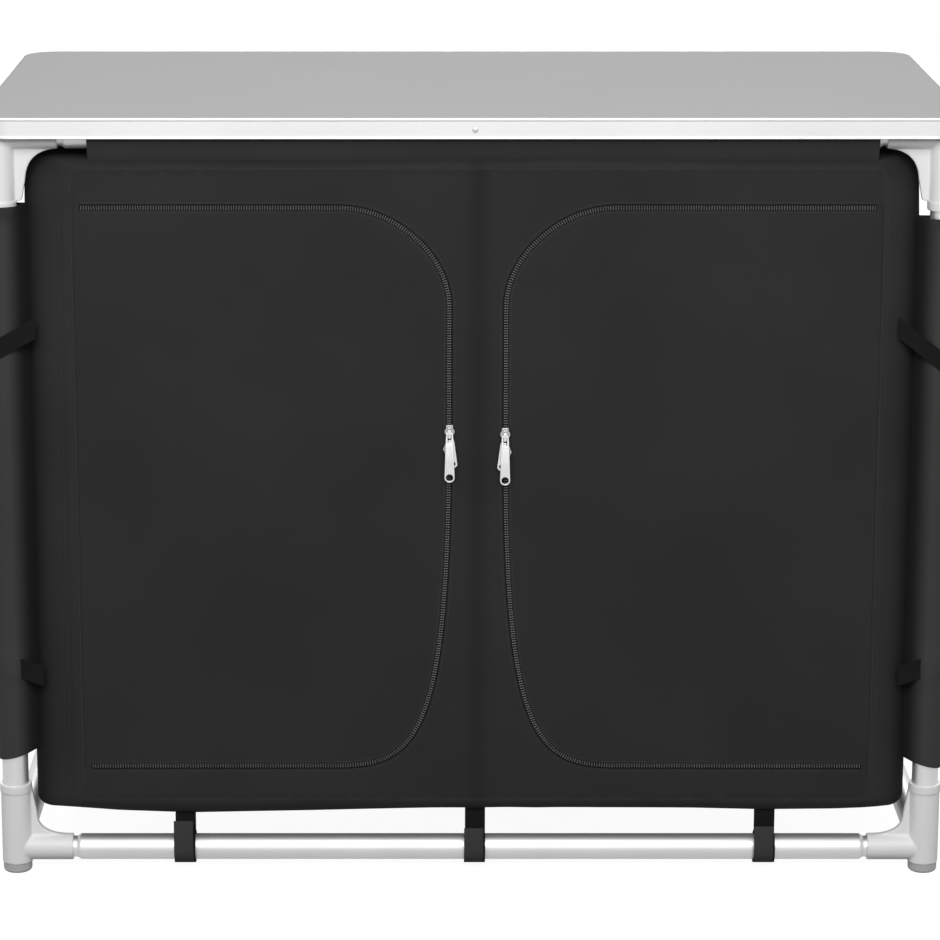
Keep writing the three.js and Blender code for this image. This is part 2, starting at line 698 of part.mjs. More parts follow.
// A slider: a shield-shaped body on the face of the chain, with a bridge that the pull tab hangs from
function sliderSolid() {
  const halfWidth = sliderWidth / 2;
  const halfHeight = sliderHeight / 2;
  const shape = new THREE.Shape();
  shape.moveTo(-halfWidth + sliderShoulder / 2, -halfHeight);
  shape.lineTo(halfWidth - sliderShoulder / 2, -halfHeight);
  shape.lineTo(halfWidth, -halfHeight + sliderShoulder);
  shape.lineTo(halfWidth, halfHeight - sliderShoulder);
  shape.lineTo(halfWidth - sliderShoulder / 2, halfHeight);
  shape.lineTo(-halfWidth + sliderShoulder / 2, halfHeight);
  shape.lineTo(-halfWidth, halfHeight - sliderShoulder);
  shape.lineTo(-halfWidth, -halfHeight + sliderShoulder);
  const backY = -cabinetFront - zipProud - seatGap;
  const faceY = backY - sliderThickness;
  const bridgeY = faceY - bridgeRise;
  const body = solidOf(upright(shape, faceY, sliderThickness));
  const bridgeEnd = bridgeLength / 2;
  const bridge = solidOf(
    block(-bridgeWidth / 2, bridgeWidth / 2, bridgeY, backY - sliderThickness / 2, -bridgeEnd, bridgeEnd),
  );
  const windowEnd = bridgeEnd - bridgeBar;
  const window = solidOf(block(-bridgeWidth, bridgeWidth, bridgeY + bridgeBar, faceY, -windowEnd, windowEnd));
  return body.add(cut(bridge, window));
}

// A pull tab hanging from the bridge: its top bar lies in the bridge's window, on the line it turns about
function pullGeometry() {
  const barTop = pullTopBar / 2;
  const endZ = -(pullLength - pullEndRadius);
  const shape = new THREE.Shape();
  shape.moveTo(-pullTopWidth / 2, barTop);
  shape.lineTo(-pullEndRadius, endZ);
  shape.absarc(0, endZ, pullEndRadius, Math.PI, Math.PI * 2, false);
  shape.lineTo(pullTopWidth / 2, barTop);
  const hole = new THREE.Path();
  hole.absarc(0, endZ, pullHoleRadius, 0, Math.PI * 2, true);
  const eye = new THREE.Path();
  eye.moveTo(-pullEyeWidth / 2, -barTop);
  eye.lineTo(pullEyeWidth / 2, -barTop);
  eye.lineTo(pullEyeWidth / 2, -barTop - pullEyeLength);
  eye.lineTo(-pullEyeWidth / 2, -barTop - pullEyeLength);
  shape.holes.push(hole, eye);
  return upright(shape, pullPivotY - pullThickness / 2, pullThickness, smallRoundSteps / 2);
}

function addSliders() {
  const drops = { left: leftSliderDrop, right: rightSliderDrop };
  for (const [side, sideSign] of sides) {
    const place = [doorShift + sideSign * freeReach, 0, doorTop - drops[side]];
    addPiece(`zip_slider_${side}`, geometryOf(sliderSolid()), zipMetal).position.set(...place);
    addPiece(`zip_pull_${side}`, pullGeometry(), zipMetal).position.set(...place);
  }
}

addTabletopBoard();
addEdgeProfile();
addEdgeRivet();
addCorners();
addFeet();
addLegs();
addRails();
addHems();
addBottomStraps();
addLegSleeves();
addTieStraps();
addCabinetWalls();
addCabinetFaces();
addInside();
addDoors();
addSliders();

export default unit;
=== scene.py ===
# Camping kitchen unit: a worktop on an aluminium tube frame, with a zipped fabric cabinet hung inside the frame.
import math

import bmesh
import bpy
import numpy as np
from mathutils import Matrix, Vector
from mathutils.geometry import delaunay_2d_cdt


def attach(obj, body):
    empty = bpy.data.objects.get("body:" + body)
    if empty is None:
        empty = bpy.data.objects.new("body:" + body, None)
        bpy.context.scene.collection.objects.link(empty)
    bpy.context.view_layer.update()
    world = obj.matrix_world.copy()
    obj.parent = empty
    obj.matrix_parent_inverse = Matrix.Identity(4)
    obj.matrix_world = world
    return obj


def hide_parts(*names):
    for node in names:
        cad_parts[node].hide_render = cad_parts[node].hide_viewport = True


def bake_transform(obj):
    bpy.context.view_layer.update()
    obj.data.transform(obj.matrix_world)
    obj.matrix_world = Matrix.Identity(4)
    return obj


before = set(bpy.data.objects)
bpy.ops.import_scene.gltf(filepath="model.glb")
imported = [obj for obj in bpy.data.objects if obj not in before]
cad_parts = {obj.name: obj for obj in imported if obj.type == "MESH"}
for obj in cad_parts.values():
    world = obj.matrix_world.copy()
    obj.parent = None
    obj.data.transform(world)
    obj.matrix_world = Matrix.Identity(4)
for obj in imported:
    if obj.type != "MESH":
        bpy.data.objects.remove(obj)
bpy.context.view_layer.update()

# The camera stands in front of the unit, a little to its left and above it, and looks slightly down.
CAMERA_TARGET = Vector((-0.045, 0, 0.480))
CAMERA_DISTANCE = 3.835
CAMERA_ELEVATION = math.radians(12.97)
FOCAL_PIXELS = 3541
FRAME_PIXELS = 940
SENSOR_WIDTH = 36


def add_object(name, data):
    made = bpy.data.objects.new(name, data)
    bpy.context.scene.collection.objects.link(made)
    return made


camera_data = bpy.data.cameras.new("camera")
camera_data.sensor_width = SENSOR_WIDTH
camera_data.lens = FOCAL_PIXELS / FRAME_PIXELS * SENSOR_WIDTH
camera_data.shift_x = 0.0455
camera_data.shift_y = -0.1
camera_data.clip_end = 50
camera = add_object("camera", camera_data)
camera_back = Vector((0, -math.cos(CAMERA_ELEVATION), math.sin(CAMERA_ELEVATION)))
camera.location = CAMERA_TARGET + camera_back * CAMERA_DISTANCE
camera.rotation_euler = (-camera_back).to_track_quat("-Z", "Y").to_euler()
bpy.context.scene.camera = camera


# A pale studio: a white floor and background, with a soft lamp above the unit and one on each side of it.
# The background and the floor look white to the camera, but light the unit only a little.
def grey(value):
    return (value, value, value)


def add_node(owner, kind, inputs=None, **settings):
    made = owner.node_tree.nodes.new(kind)
    for setting, value in settings.items():
        setattr(made, setting, value)
    for socket, value in (inputs or {}).items():
        if isinstance(value, bpy.types.NodeSocket):
            owner.node_tree.links.new(value, made.inputs[socket])
        else:
            made.inputs[socket].default_value = value
    return made


def add_maths(owner, operation, *inputs):
    return add_node(owner, "ShaderNodeMath", dict(enumerate(inputs)), operation=operation).outputs[0]


def ranged(owner, value, low, high, start=0.0, end=1.0):
    inputs = {"Value": value, "From Min": start, "From Max": end, "To Min": low, "To Max": high}
    return add_node(owner, "ShaderNodeMapRange", inputs).outputs["Result"]


def linked(owner, output, shader, socket):
    owner.node_tree.links.new(output, shader.inputs[socket])


def new_material(name, colour, roughness, metallic=0.0):
    material = bpy.data.materials.new(name)
    material.use_nodes = True
    shader = material.node_tree.nodes["Principled BSDF"]
    shader.inputs["Base Color"].default_value = (*colour, 1)
    shader.inputs["Roughness"].default_value = roughness
    shader.inputs["Metallic"].default_value = metallic
    return material, shader


bpy.context.scene.view_settings.view_transform = "Standard"
world = bpy.data.worlds.new("studio")
bpy.context.scene.world = world
world.use_nodes = True
sky = world.node_tree.nodes["Background"]
sky.inputs["Color"].default_value = (*grey(1), 1)
sky_rays = add_node(world, "ShaderNodeLightPath").outputs
sky_seen = add_maths(world, "MAXIMUM", sky_rays["Is Camera Ray"], sky_rays["Is Glossy Ray"])
sky_seen = add_maths(world, "MAXIMUM", sky_seen, sky_rays["Is Transmission Ray"])
linked(world, ranged(world, sky_seen, 0.22, 1.0), sky, "Strength")

for name, place, aim_height, size, watts in (
    ("lamp_above", (0.0, 0.3, 3.2), 0.6, (3.0, 2.0), 3),
    ("lamp_front", (-0.1, -2.8, 2.3), 0.5, (3.0, 1.6), 87),
    ("lamp_left", (-3.4, 0.5, 1.5), 0.5, (1.8, 1.6), 16),
    ("lamp_right", (3.4, 0.5, 1.5), 0.5, (1.8, 1.6), 16),
    ("lamp_behind", (0.2, 3.6, 1.9), 0.5, (3.0, 1.8), 50),
):
    lamp_data = bpy.data.lights.new(name, "AREA")
    lamp_data.shape = "RECTANGLE"
    lamp_data.size, lamp_data.size_y = size
    lamp_data.energy = watts
    lamp = add_object(name, lamp_data)
    lamp.location = place
    lamp.rotation_euler = (Vector((0, 0, aim_height)) - Vector(place)).to_track_quat("-Z", "Y").to_euler()

FLOOR_HALF = 9
floor_mesh = bpy.data.meshes.new("studio_floor")
floor_corners = [(x * FLOOR_HALF, y * FLOOR_HALF, 0) for x, y in ((-1, -1), (1, -1), (1, 1), (-1, 1))]
floor_mesh.from_pydata(floor_corners, [], [(0, 1, 2, 3)])
floor = add_object("studio_floor", floor_mesh)
pale, pale_shader = new_material("pale_floor", grey(0.22), 0.9)
pale_shader.inputs["Specular IOR Level"].default_value = 0.0
pale_shader.inputs["Emission Color"].default_value = (*grey(1), 1)
floor_rays = add_node(pale, "ShaderNodeLightPath").outputs
floor_seen = add_maths(pale, "MULTIPLY_ADD", floor_rays["Is Glossy Ray"], 0.6, floor_rays["Is Camera Ray"])
floor_seen = add_maths(pale, "MAXIMUM", floor_seen, floor_rays["Is Transmission Ray"])
linked(pale, add_maths(pale, "MULTIPLY", floor_seen, 0.95), pale_shader, "Emission Strength")
floor_mesh.materials.append(pale)


# Worktop board: a thin hardboard faced with grey laminate, lying in the edge profile. Its face has a fine fleck.
MILLIMETRE = 0.001


def add_noise(material, place, scale, detail):
    inputs = {"Vector": place, "Scale": scale, "Detail": detail}
    return add_node(material, "ShaderNodeTexNoise", inputs).outputs["Fac"]


def tinted(material, share, dark, light):
    inputs = {"Factor": share, 6: (*dark, 1), 7: (*light, 1)}
    return add_node(material, "ShaderNodeMix", inputs, data_type="RGBA").outputs[2]


def bumped(material, shader, height, distance, strength):
    inputs = {"Height": height, "Distance": distance, "Strength": strength}
    linked(material, add_node(material, "ShaderNodeBump", inputs).outputs["Normal"], shader, "Normal")


def object_place(material, stretch=(1, 1, 1)):
    coordinate = add_node(material, "ShaderNodeTexCoord")
    inputs = {"Vector": coordinate.outputs["Object"], "Scale": stretch}
    return add_node(material, "ShaderNodeMapping", inputs).outputs["Vector"]


laminate, laminate_shader = new_material("grey_laminate", grey(0.452), 0.55)
laminate_shader.inputs["Specular IOR Level"].default_value = 0.06
laminate_place = object_place(laminate)
laminate_fleck = add_noise(laminate, laminate_place, 1500, 3)
laminate_cloud = add_noise(laminate, laminate_place, 7, 3)
laminate_share = ranged(laminate, add_maths(laminate, "ADD", laminate_fleck, laminate_cloud), 0, 1, 0.6, 1.4)
laminate_tint = tinted(laminate, laminate_share, (0.412, 0.412, 0.413), (0.464, 0.464, 0.463))
linked(laminate, laminate_tint, laminate_shader, "Base Color")
linked(laminate, ranged(laminate, laminate_cloud, 0.56, 0.68), laminate_shader, "Roughness")
bumped(laminate, laminate_shader, laminate_fleck, 0.00003, 0.35)

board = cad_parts["tabletop_board"]
board.data.materials.clear()
board.data.materials.append(laminate)
board_edges = board.modifiers.new("eased_edges", "BEVEL")
board_edges.width = 0.3 * MILLIMETRE
board_edges.segments = 2


# Edge profile: one length of extruded aluminium bent round the board, its ends meeting at a rivet in front.
# It has a rounded bead along its top and bottom, and the board lies on its inner ledge.
def grained(name, colour, roughness, metallic, grain, stretch=(1, 1, 1), cloud=None, tint=None, gloss=None,
            relief=None):
    """A material with a fine grain that sets its gloss and relief. A broad cloud, or else the grain, tints it."""
    material, shader = new_material(name, colour, roughness, metallic)
    fine = add_noise(material, object_place(material, stretch), *grain)
    broad = add_noise(material, object_place(material), *cloud) if cloud else fine
    if tint:
        linked(material, tinted(material, broad, *tint), shader, "Base Color")
    if gloss:
        linked(material, ranged(material, fine, *gloss), shader, "Roughness")
    if relief:
        bumped(material, shader, fine, *relief)
    return material


def add_piece(name, points, faces, material, body="frame_and_cabinet", stands_for=(), slot=None, crease=38):
    mesh = bpy.data.meshes.new(name)
    mesh.from_pydata((np.asarray(points, float) * MILLIMETRE).tolist(), [], [tuple(face) for face in faces])
    shape = bmesh.new()
    shape.from_mesh(mesh)
    bmesh.ops.recalc_face_normals(shape, faces=shape.faces)
    shape.to_mesh(mesh)
    shape.free()
    mesh.shade_smooth()
    mesh.set_sharp_from_angle(angle=math.radians(crease))
    mesh.materials.append(material)
    made = add_object(name, mesh)
    if stands_for:
        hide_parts(*stands_for)
    if body:
        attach(made, body)
    return made


def rounded_loop(half_width, half_depth, radius, steps, out=0.0):
    """Points round a rectangle with rounded corners, moved outwards by out."""
    points = []
    reach = radius + out
    for corner, (x_sign, y_sign) in enumerate(((1, 1), (-1, 1), (-1, -1), (1, -1))):
        for step in range(steps + 1):
            angle = math.pi / 2 * (corner + step / steps)
            points.append((x_sign * (half_width - radius) + math.cos(angle) * reach,
                           y_sign * (half_depth - radius) + math.sin(angle) * reach))
    return points


def tube_faces(rings, around, closed_rings=True, closed_around=True):
    faces = []
    for ring in range(rings if closed_rings else rings - 1):
        for step in range(around if closed_around else around - 1):
            near, far = ring * around, (ring + 1) % rings * around
            next_step = (step + 1) % around
            faces.append((near + step, near + next_step, far + next_step, far + step))
    return faces


def arc(x, z, radius, start, end, steps):
    angles = [math.radians(start + (end - start) * step / steps) for step in range(steps + 1)]
    return [(x + radius * math.cos(a), z + radius * math.sin(a)) for a in angles]


TOP_HALF_WIDTH, TOP_HALF_DEPTH, TOP_CORNER = 500, 250, 38
EDGE_TOP, EDGE_BOTTOM = 800, 779
EDGE_WALL_OUT, EDGE_WALL_IN = -1.2, -3.5
EDGE_CHAMFER = 0.3
BEAD_RADIUS = 1.25
BEAD_HEIGHT = 3.2
LEDGE_END, LEDGE_TOP, LEDGE_BOTTOM = -9, 795.7, 794.0
edge_section = [
    *arc(-BEAD_RADIUS, EDGE_BOTTOM + BEAD_RADIUS, BEAD_RADIUS, -90, 60, 6),
    (EDGE_WALL_OUT, EDGE_BOTTOM + BEAD_HEIGHT),
    (EDGE_WALL_OUT, EDGE_TOP - BEAD_HEIGHT),
    *arc(-BEAD_RADIUS, EDGE_TOP - BEAD_RADIUS, BEAD_RADIUS, -60, 90, 6),
    (EDGE_WALL_IN + EDGE_CHAMFER, EDGE_TOP),
    (EDGE_WALL_IN, EDGE_TOP - EDGE_CHAMFER),
    (EDGE_WALL_IN, LEDGE_TOP),
    (LEDGE_END, LEDGE_TOP),
    (LEDGE_END, LEDGE_BOTTOM),
    (EDGE_WALL_IN, LEDGE_BOTTOM),
    (EDGE_WALL_IN, EDGE_BOTTOM + EDGE_CHAMFER),
    (EDGE_WALL_IN + EDGE_CHAMFER, EDGE_BOTTOM),
]
edge_loops = [rounded_loop(TOP_HALF_WIDTH, TOP_HALF_DEPTH, TOP_CORNER, 24, out) for out, _ in edge_section]
edge_points = [(*place, up) for places in zip(*edge_loops) for place, (_, up) in zip(places, edge_section)]
brushed = grained(
    "brushed_profile", (0.84, 0.84, 0.845), 0.4, 0.75, (40, 3), stretch=(1, 1, 60), cloud=(5, 2),
    tint=((0.745, 0.745, 0.755), grey(0.85)), gloss=(0.34, 0.48), relief=(0.00004, 0.3),
)
add_piece(
    "edge_profile", edge_points, tube_faces(len(edge_loops[0]), len(edge_section)), brushed,
    "tabletop", ["tabletop_edge_profile"], "aluminium", 25,
)


# Rivet: a small domed blind rivet through the front of the profile, where the profile's ends meet.
def turned(profile, steps):
    points = []
    for radius, along in profile:
        for step in range(steps):
            angle = math.tau * step / steps
            points.append((radius * math.cos(angle), radius * math.sin(angle), along))
    return points, tube_faces(len(profile), steps)


def placed(points, matrix):
    return [tuple(matrix @ Vector(point)) for point in points]


RIVET_HEAD, RIVET_DOME, RIVET_SEAT = 3.2, 1.0, 0.1
rivet_profile = [(0.05, -4.0), (2.4, -4.0), (2.4, -2.5), (1.55, -2.5), (1.55, RIVET_SEAT), (RIVET_HEAD, RIVET_SEAT)]
rivet_profile += [(RIVET_HEAD * math.cos(math.radians(a)), RIVET_SEAT + RIVET_DOME * math.sin(math.radians(a)))
                  for a in (20, 40, 60, 80)]
rivet_profile += [(0.9, 1.1), (0.8, 0.85), (0.05, 0.85)]
rivet_points, rivet_faces = turned(rivet_profile, 32)
rivet_turn = Matrix.Translation((3, -248.8, 788.5)) @ Matrix.Rotation(math.pi / 2, 4, "X")
rivet_metal = grained("rivet_metal", grey(0.60), 0.38, 0.9, (900, 4), gloss=(0.28, 0.52), relief=(0.00005, 0.4))
add_piece(
    "rivet", placed(rivet_points, rivet_turn), rivet_faces, rivet_metal,
    "tabletop", ["edge_joint_rivet"], "aluminium",
)


# Legs: plain drawn aluminium tube, 27 mm across, seated in the corner pieces. Drawing leaves fine lines along it.
TUBE_RADIUS = 13.5
TUBE_WALL = 1.5
TUBE_STEPS = 64
LEG_X, LEG_Y = 475, 225
LEG_BOTTOM, LEG_TOP = 41.5, 763.8
ENDS = (("front", -1), ("rear", 1))
SIDES = (("left", -1), ("right", 1))
CORNERS = [(end, side, x_sign, y_sign) for end, y_sign in ENDS for side, x_sign in SIDES]


def drawn_tube_material(name, stretch):
    return grained(
        name, (0.74, 0.74, 0.745), 0.44, 0.85, (60, 3), stretch=stretch, cloud=(9, 3),
        tint=((0.67, 0.67, 0.68), (0.80, 0.80, 0.805)), gloss=(0.38, 0.54), relief=(0.00005, 0.35),
    )


def add_at_legs(prefix, part, profile, steps, material, slot):
    """The same turned piece on the axis of each leg, in place of that leg's solid."""
    points, faces = turned(profile, steps)
    for end, side, x_sign, y_sign in CORNERS:
        spot = Matrix.Translation((x_sign * LEG_X, y_sign * LEG_Y, 0))
        name = f"{part}_{end}_{side}"
        add_piece(f"{prefix}_{name}", placed(points, spot), faces, material, stands_for=[name], slot=slot)


leg_profile = [(TUBE_RADIUS - TUBE_WALL, LEG_BOTTOM), (TUBE_RADIUS, LEG_BOTTOM),
               (TUBE_RADIUS, LEG_TOP), (TUBE_RADIUS - TUBE_WALL, LEG_TOP)]
upright_tube = drawn_tube_material("drawn_tube_upright", (40, 40, 1))
add_at_legs("tube", "leg", leg_profile, TUBE_STEPS, upright_tube, "aluminium")


# Rails: the same tube with swaged ends. A short bare neck shows where each end plugs into its corner piece.
TOP_RAIL_Z, BOTTOM_RAIL_Z = 779.8, 25.5
ARM_END = 59
NECK_RADIUS = 11
NECK_END, NECK_BARE = 18, 3.5
SWAGE_LENGTH, SWAGE_STEPS = 5.5, 6


def rail_profile(half_span):
    neck = half_span - ARM_END - NECK_BARE
    outer = [(NECK_RADIUS, half_span - NECK_END), (NECK_RADIUS, neck)]
    for step in range(1, SWAGE_STEPS + 1):
        share = step / SWAGE_STEPS
        swell = (1 - math.cos(math.pi * share)) / 2
        outer.append((NECK_RADIUS + (TUBE_RADIUS - NECK_RADIUS) * swell, neck - SWAGE_LENGTH * share))
    outer += [(radius, -along) for radius, along in reversed(outer)]
    return outer + [(radius - TUBE_WALL, along) for radius, along in reversed(outer)]


rails_along_x = drawn_tube_material("drawn_tube_along_x", (1, 40, 40))
rails_along_y = drawn_tube_material("drawn_tube_along_y", (40, 1, 40))
rails = [(end, 0, sign * LEG_Y, LEG_X, "Y", rails_along_x) for end, sign in ENDS]
rails += [(side, sign * LEG_X, 0, LEG_Y, "X", rails_along_y) for side, sign in SIDES]
for level, height in (("top", TOP_RAIL_Z), ("bottom", BOTTOM_RAIL_Z)):
    for place, x, y, half_span, turn_axis, metal in rails:
        points, faces = turned(rail_profile(half_span), TUBE_STEPS)
        turn = Matrix.Translation((x, y, height)) @ Matrix.Rotation(math.pi / 2, 4, turn_axis)
        name = f"{level}_rail_{place}"
        add_piece(f"tube_{name}", placed(points, turn), faces, metal, stands_for=[name], slot="aluminium")


# Corner pieces: light grey moulded plastic. Each has a leg socket with a lip, two rail sockets square to it,
# and curved webs between them. The shape is melted together, so every inner corner has a moulded fillet.
ARM_RADIUS = 13.8
SOCKET_RADIUS = 15.8
LIP_RADIUS, LIP_HEIGHT = 16.6, 9
WEB_HALF = 3.5
WEB_START = 13.5
FLAT_WEB_REACH = 50
LEG_BORE, LEG_SEAT = 13.8, 15.7
NECK_BORE, NECK_SEAT = 11.3, 17.7
FOOT_BORE, FOOT_SEAT = 8.3, -8.4
BORE_OVERRUN = 5


def rod(shape, radius, low, high, axis, steps=64):
    turn = {"X": Matrix.Rotation(math.pi / 2, 4, "Y"), "Y": Matrix.Rotation(-math.pi / 2, 4, "X"),
            "Z": Matrix.Identity(4)}[axis]
    middle = Matrix.Translation((0, 0, (low + high) / 2))
    bmesh.ops.create_cone(shape, cap_ends=True, segments=steps, radius1=radius, radius2=radius,
                          depth=high - low, matrix=turn @ middle)


def add_web(shape, outline, swap):
    """A web: an outline in two directions, thickened evenly in the third."""
    low, high = [], []
    for across, up in outline:
        low.append(shape.verts.new(swap(across, up, -WEB_HALF)))
        high.append(shape.verts.new(swap(across, up, WEB_HALF)))
    shape.faces.new(low)
    shape.faces.new(list(reversed(high)))
    for i in range(len(outline)):
        j = (i + 1) % len(outline)
        shape.faces.new((low[i], high[i], high[j], low[j]))


def eased(start, bend, end, steps=14):
    start, bend, end = Vector(start), Vector(bend), Vector(end)
    shares = [step / steps for step in range(steps + 1)]
    return [tuple(start * (1 - t) ** 2 + bend * 2 * t * (1 - t) + end * t * t) for t in shares]


def corner_mesh(name, socket_length, cap_rise, foot_bore, web_bend, web_end, web_foot):
    shape = bmesh.new()
    rod(shape, SOCKET_RADIUS, -cap_rise, socket_length, "Z")
    rod(shape, LIP_RADIUS, socket_length - LIP_HEIGHT, socket_length, "Z")
    rod(shape, ARM_RADIUS, 0, ARM_END, "X")
    rod(shape, ARM_RADIUS, 0, ARM_END, "Y")
    web = [(0, 0), (ARM_END, 0), *eased((ARM_END, WEB_START), web_bend, web_end), web_foot]
    web += [(SOCKET_RADIUS, web_foot[1] + 1), (0, web_foot[1] + 1)]
    add_web(shape, web, lambda a, u, t: (a, t, u))
    add_web(shape, web, lambda a, u, t: (-t, a, u))
    curve = eased((FLAT_WEB_REACH, WEB_START), (ARM_RADIUS, ARM_RADIUS), (WEB_START, FLAT_WEB_REACH))
    add_web(shape, [(0, 0), (FLAT_WEB_REACH, 0), *curve, (0, FLAT_WEB_REACH)], lambda a, u, t: (a, u, t))
    bmesh.ops.recalc_face_normals(shape, faces=shape.faces)
    mesh = bpy.data.meshes.new(name)
    shape.to_mesh(mesh)
    shape.free()
    melted = add_object(name, mesh)
    remesh = melted.modifiers.new("melted", "REMESH")
    remesh.mode = "VOXEL"
    remesh.voxel_size = 1.0
    soften = melted.modifiers.new("fillets", "SMOOTH")
    soften.factor = 0.5
    soften.iterations = 3
    cutters = []
    bores = [("leg", LEG_BORE, LEG_SEAT, socket_length + BORE_OVERRUN, "Z"),
             ("x", NECK_BORE, NECK_SEAT, ARM_END + BORE_OVERRUN, "X"),
             ("y", NECK_BORE, NECK_SEAT, ARM_END + BORE_OVERRUN, "Y")]
    if foot_bore:
        bores.append(("foot", FOOT_BORE, -cap_rise - BORE_OVERRUN, FOOT_SEAT, "Z"))
    for bore, radius, low, high, axis in bores:
        cut = bmesh.new()
        rod(cut, radius, low, high, axis, 48)
        cut_mesh = bpy.data.meshes.new(f"{name}_{bore}")
        cut.to_mesh(cut_mesh)
        cut.free()
        cutters.append(add_object(f"{name}_{bore}", cut_mesh))
        hollow = melted.modifiers.new(bore, "BOOLEAN")
        hollow.object = cutters[-1]
        hollow.operation = "DIFFERENCE"
        hollow.solver = "EXACT"
    thin = melted.modifiers.new("thinned", "DECIMATE")
    thin.ratio = 0.35
    bpy.context.view_layer.update()
    made = bpy.data.meshes.new_from_object(melted.evaluated_get(bpy.context.evaluated_depsgraph_get()))
    points = np.zeros(len(made.vertices) * 3)
    made.vertices.foreach_get("co", points)
    faces = [tuple(face.vertices) for face in made.polygons]
    for spare in (melted, *cutters):
        bpy.data.objects.remove(spare)
    return points.reshape(-1, 3), faces


plastic = grained(
    "grey_moulding", grey(0.84), 0.42, 0.0, (1100, 3), cloud=(24, 3),
    tint=(grey(0.81), grey(0.87)), gloss=(0.36, 0.52), relief=(0.00008, 0.25),
)
for level, height, up_sign, sizes in (
    ("top", TOP_RAIL_Z, -1, (76, 13.9, False, (28, 15), (26, 45), (22.2, 66))),
    ("bottom", BOTTOM_RAIL_Z, 1, (71, 15.7, True, (21.8, 13.5), (21.8, 35.8), (15.9, 70))),
):
    corner_points, corner_faces = corner_mesh(f"{level}_corner", *sizes)
    for end, side, x_sign, y_sign in CORNERS:
        spread = corner_points * np.array([-x_sign, -y_sign, up_sign])
        spread = spread + np.array([x_sign * LEG_X, y_sign * LEG_Y, height])
        name = f"{level}_corner_{end}_{side}"
        add_piece(f"moulding_{name}", spread, corner_faces, plastic, stands_for=[name], slot="grey_plastic")


# Feet: short moulded treads pressed into the bottom corner pieces, with a rounded edge and two grip grooves.
TREAD_RADIUS, TREAD_FLAT, TREAD_ROUND = 15, 11.6, 3.4
foot_profile = [(0.05, 0.0), (11.2, 0.0)]
foot_profile += arc(TREAD_FLAT, TREAD_ROUND, TREAD_ROUND, -75, 0, 5)
foot_profile += [(TREAD_RADIUS, 5.2), (14.4, 5.6), (TREAD_RADIUS, 6.0), (TREAD_RADIUS, 7.4), (14.4, 7.8),
                 (TREAD_RADIUS, 8.2), (TREAD_RADIUS, 9.2), (14.6, 9.5), (8, 9.5), (8, 16.4), (0.05, 16.4)]
tread = grained(
    "foot_moulding", grey(0.50), 0.6, 0.0, (700, 4), tint=(grey(0.42), grey(0.56)), relief=(0.0001, 0.4),
)
add_at_legs("tread", "foot", foot_profile, 48, tread, "foot_plastic")


# Cabinet cloth: charcoal woven polyester. One band is sewn round the top, the sides and the floor, and it turns
# over the front edge to the door openings. The top hangs from the hems. The bottom straps hold the floor down, and
# the lower edge dips at the two outer ones.
def weave_material(name, dark, light, yarn, roughness):
    material, shader = new_material(name, light, roughness)
    shader.inputs["Sheen Weight"].default_value = 0.02
    shader.inputs["Sheen Roughness"].default_value = 0.5
    shader.inputs["Specular IOR Level"].default_value = 0.05
    cloth = add_node(material, "ShaderNodeUVMap", uv_map="cloth").outputs["UV"]
    waves = []
    for direction in ("X", "Y"):
        inputs = {"Vector": cloth, "Scale": 0.3142 / yarn, "Distortion": 0.4, "Detail": 1.0}
        waves.append(add_node(material, "ShaderNodeTexWave", inputs, bands_direction=direction).outputs["Fac"])
    slub = add_noise(material, cloth, 420, 3)
    mixed = add_maths(material, "MULTIPLY", add_maths(material, "MULTIPLY", *waves), slub)
    share = add_maths(material, "ADD", mixed, add_noise(material, cloth, 5, 3))
    colour = tinted(material, ranged(material, share, 0, 1, 0.25, 0.95), dark, light)
    # Painted shade: a value stored on each point mixes the weave towards a much darker colour where shade falls in
    # creases and folds.
    painted_shade = add_node(material, "ShaderNodeAttribute", attribute_name="painted_shade").outputs["Fac"]
    painted_shade_colour = tuple(0.3 * value for value in dark)
    painted_shade_mix = add_node(material, "ShaderNodeMix", {"Factor": painted_shade, 6: colour, 7: (*painted_shade_colour, 1)}, data_type="RGBA")
    linked(material, painted_shade_mix.outputs[2], shader, "Base Color")
    linked(material, ranged(material, slub, roughness - 0.08, roughness + 0.08), shader, "Roughness")
    bumped(material, shader, mixed, yarn * 0.25, 0.5)
    return material


def flipped(faces):
    return [tuple(reversed(face)) for face in faces]


def thickened(points, faces, thickness):
    """A sheet's outer face and its inner face, closed along every free edge."""
    points = np.asarray(points, float)
    normals = np.zeros_like(points)
    for face in faces:
        a, b, c = points[face[0]], points[face[1]], points[face[2]]
        across = np.cross(b - a, c - a)
        if len(face) == 4:
            across = across + np.cross(c - a, points[face[3]] - a)
        for corner in face:
            normals[corner] += across
    normals /= np.maximum(np.linalg.norm(normals, axis=1), 1e-9)[:, None]
    count = len(points)
    edges = {(corner, face[(i + 1) % len(face)]) for face in faces for i, corner in enumerate(face)}
    rims = [pair for pair in edges if (pair[1], pair[0]) not in edges]
    made = list(faces) + [tuple(corner + count for corner in face) for face in flipped(faces)]
    made += [(b, a, a + count, b + count) for a, b in rims]
    return np.concatenate([points, points - normals * thickness]), made


def add_cloth(name, points, faces, places, material, thickness=1.2, painted_shade=None, **settings):
    """A cloth piece. Its places are on the flat cloth, so that the weave follows the cloth, and an optional value
    per point paints shade into the weave where the cloth is creased or folded."""
    both, closed = thickened(points, faces, thickness)
    piece = add_piece(name, both, closed, material, **settings)
    flat = np.concatenate([places, places]) * MILLIMETRE
    corners = np.zeros(len(piece.data.loops), np.int32)
    piece.data.loops.foreach_get("vertex_index", corners)
    layer = piece.data.uv_layers.new(name="cloth")
    layer.data.foreach_set("uv", flat[corners].astype(np.float32).ravel())
    if painted_shade is not None:
        shade = piece.data.attributes.new("painted_shade", "FLOAT", "POINT")
        shade.data.foreach_set("value", np.concatenate([painted_shade, painted_shade]).astype(np.float32))
    return piece


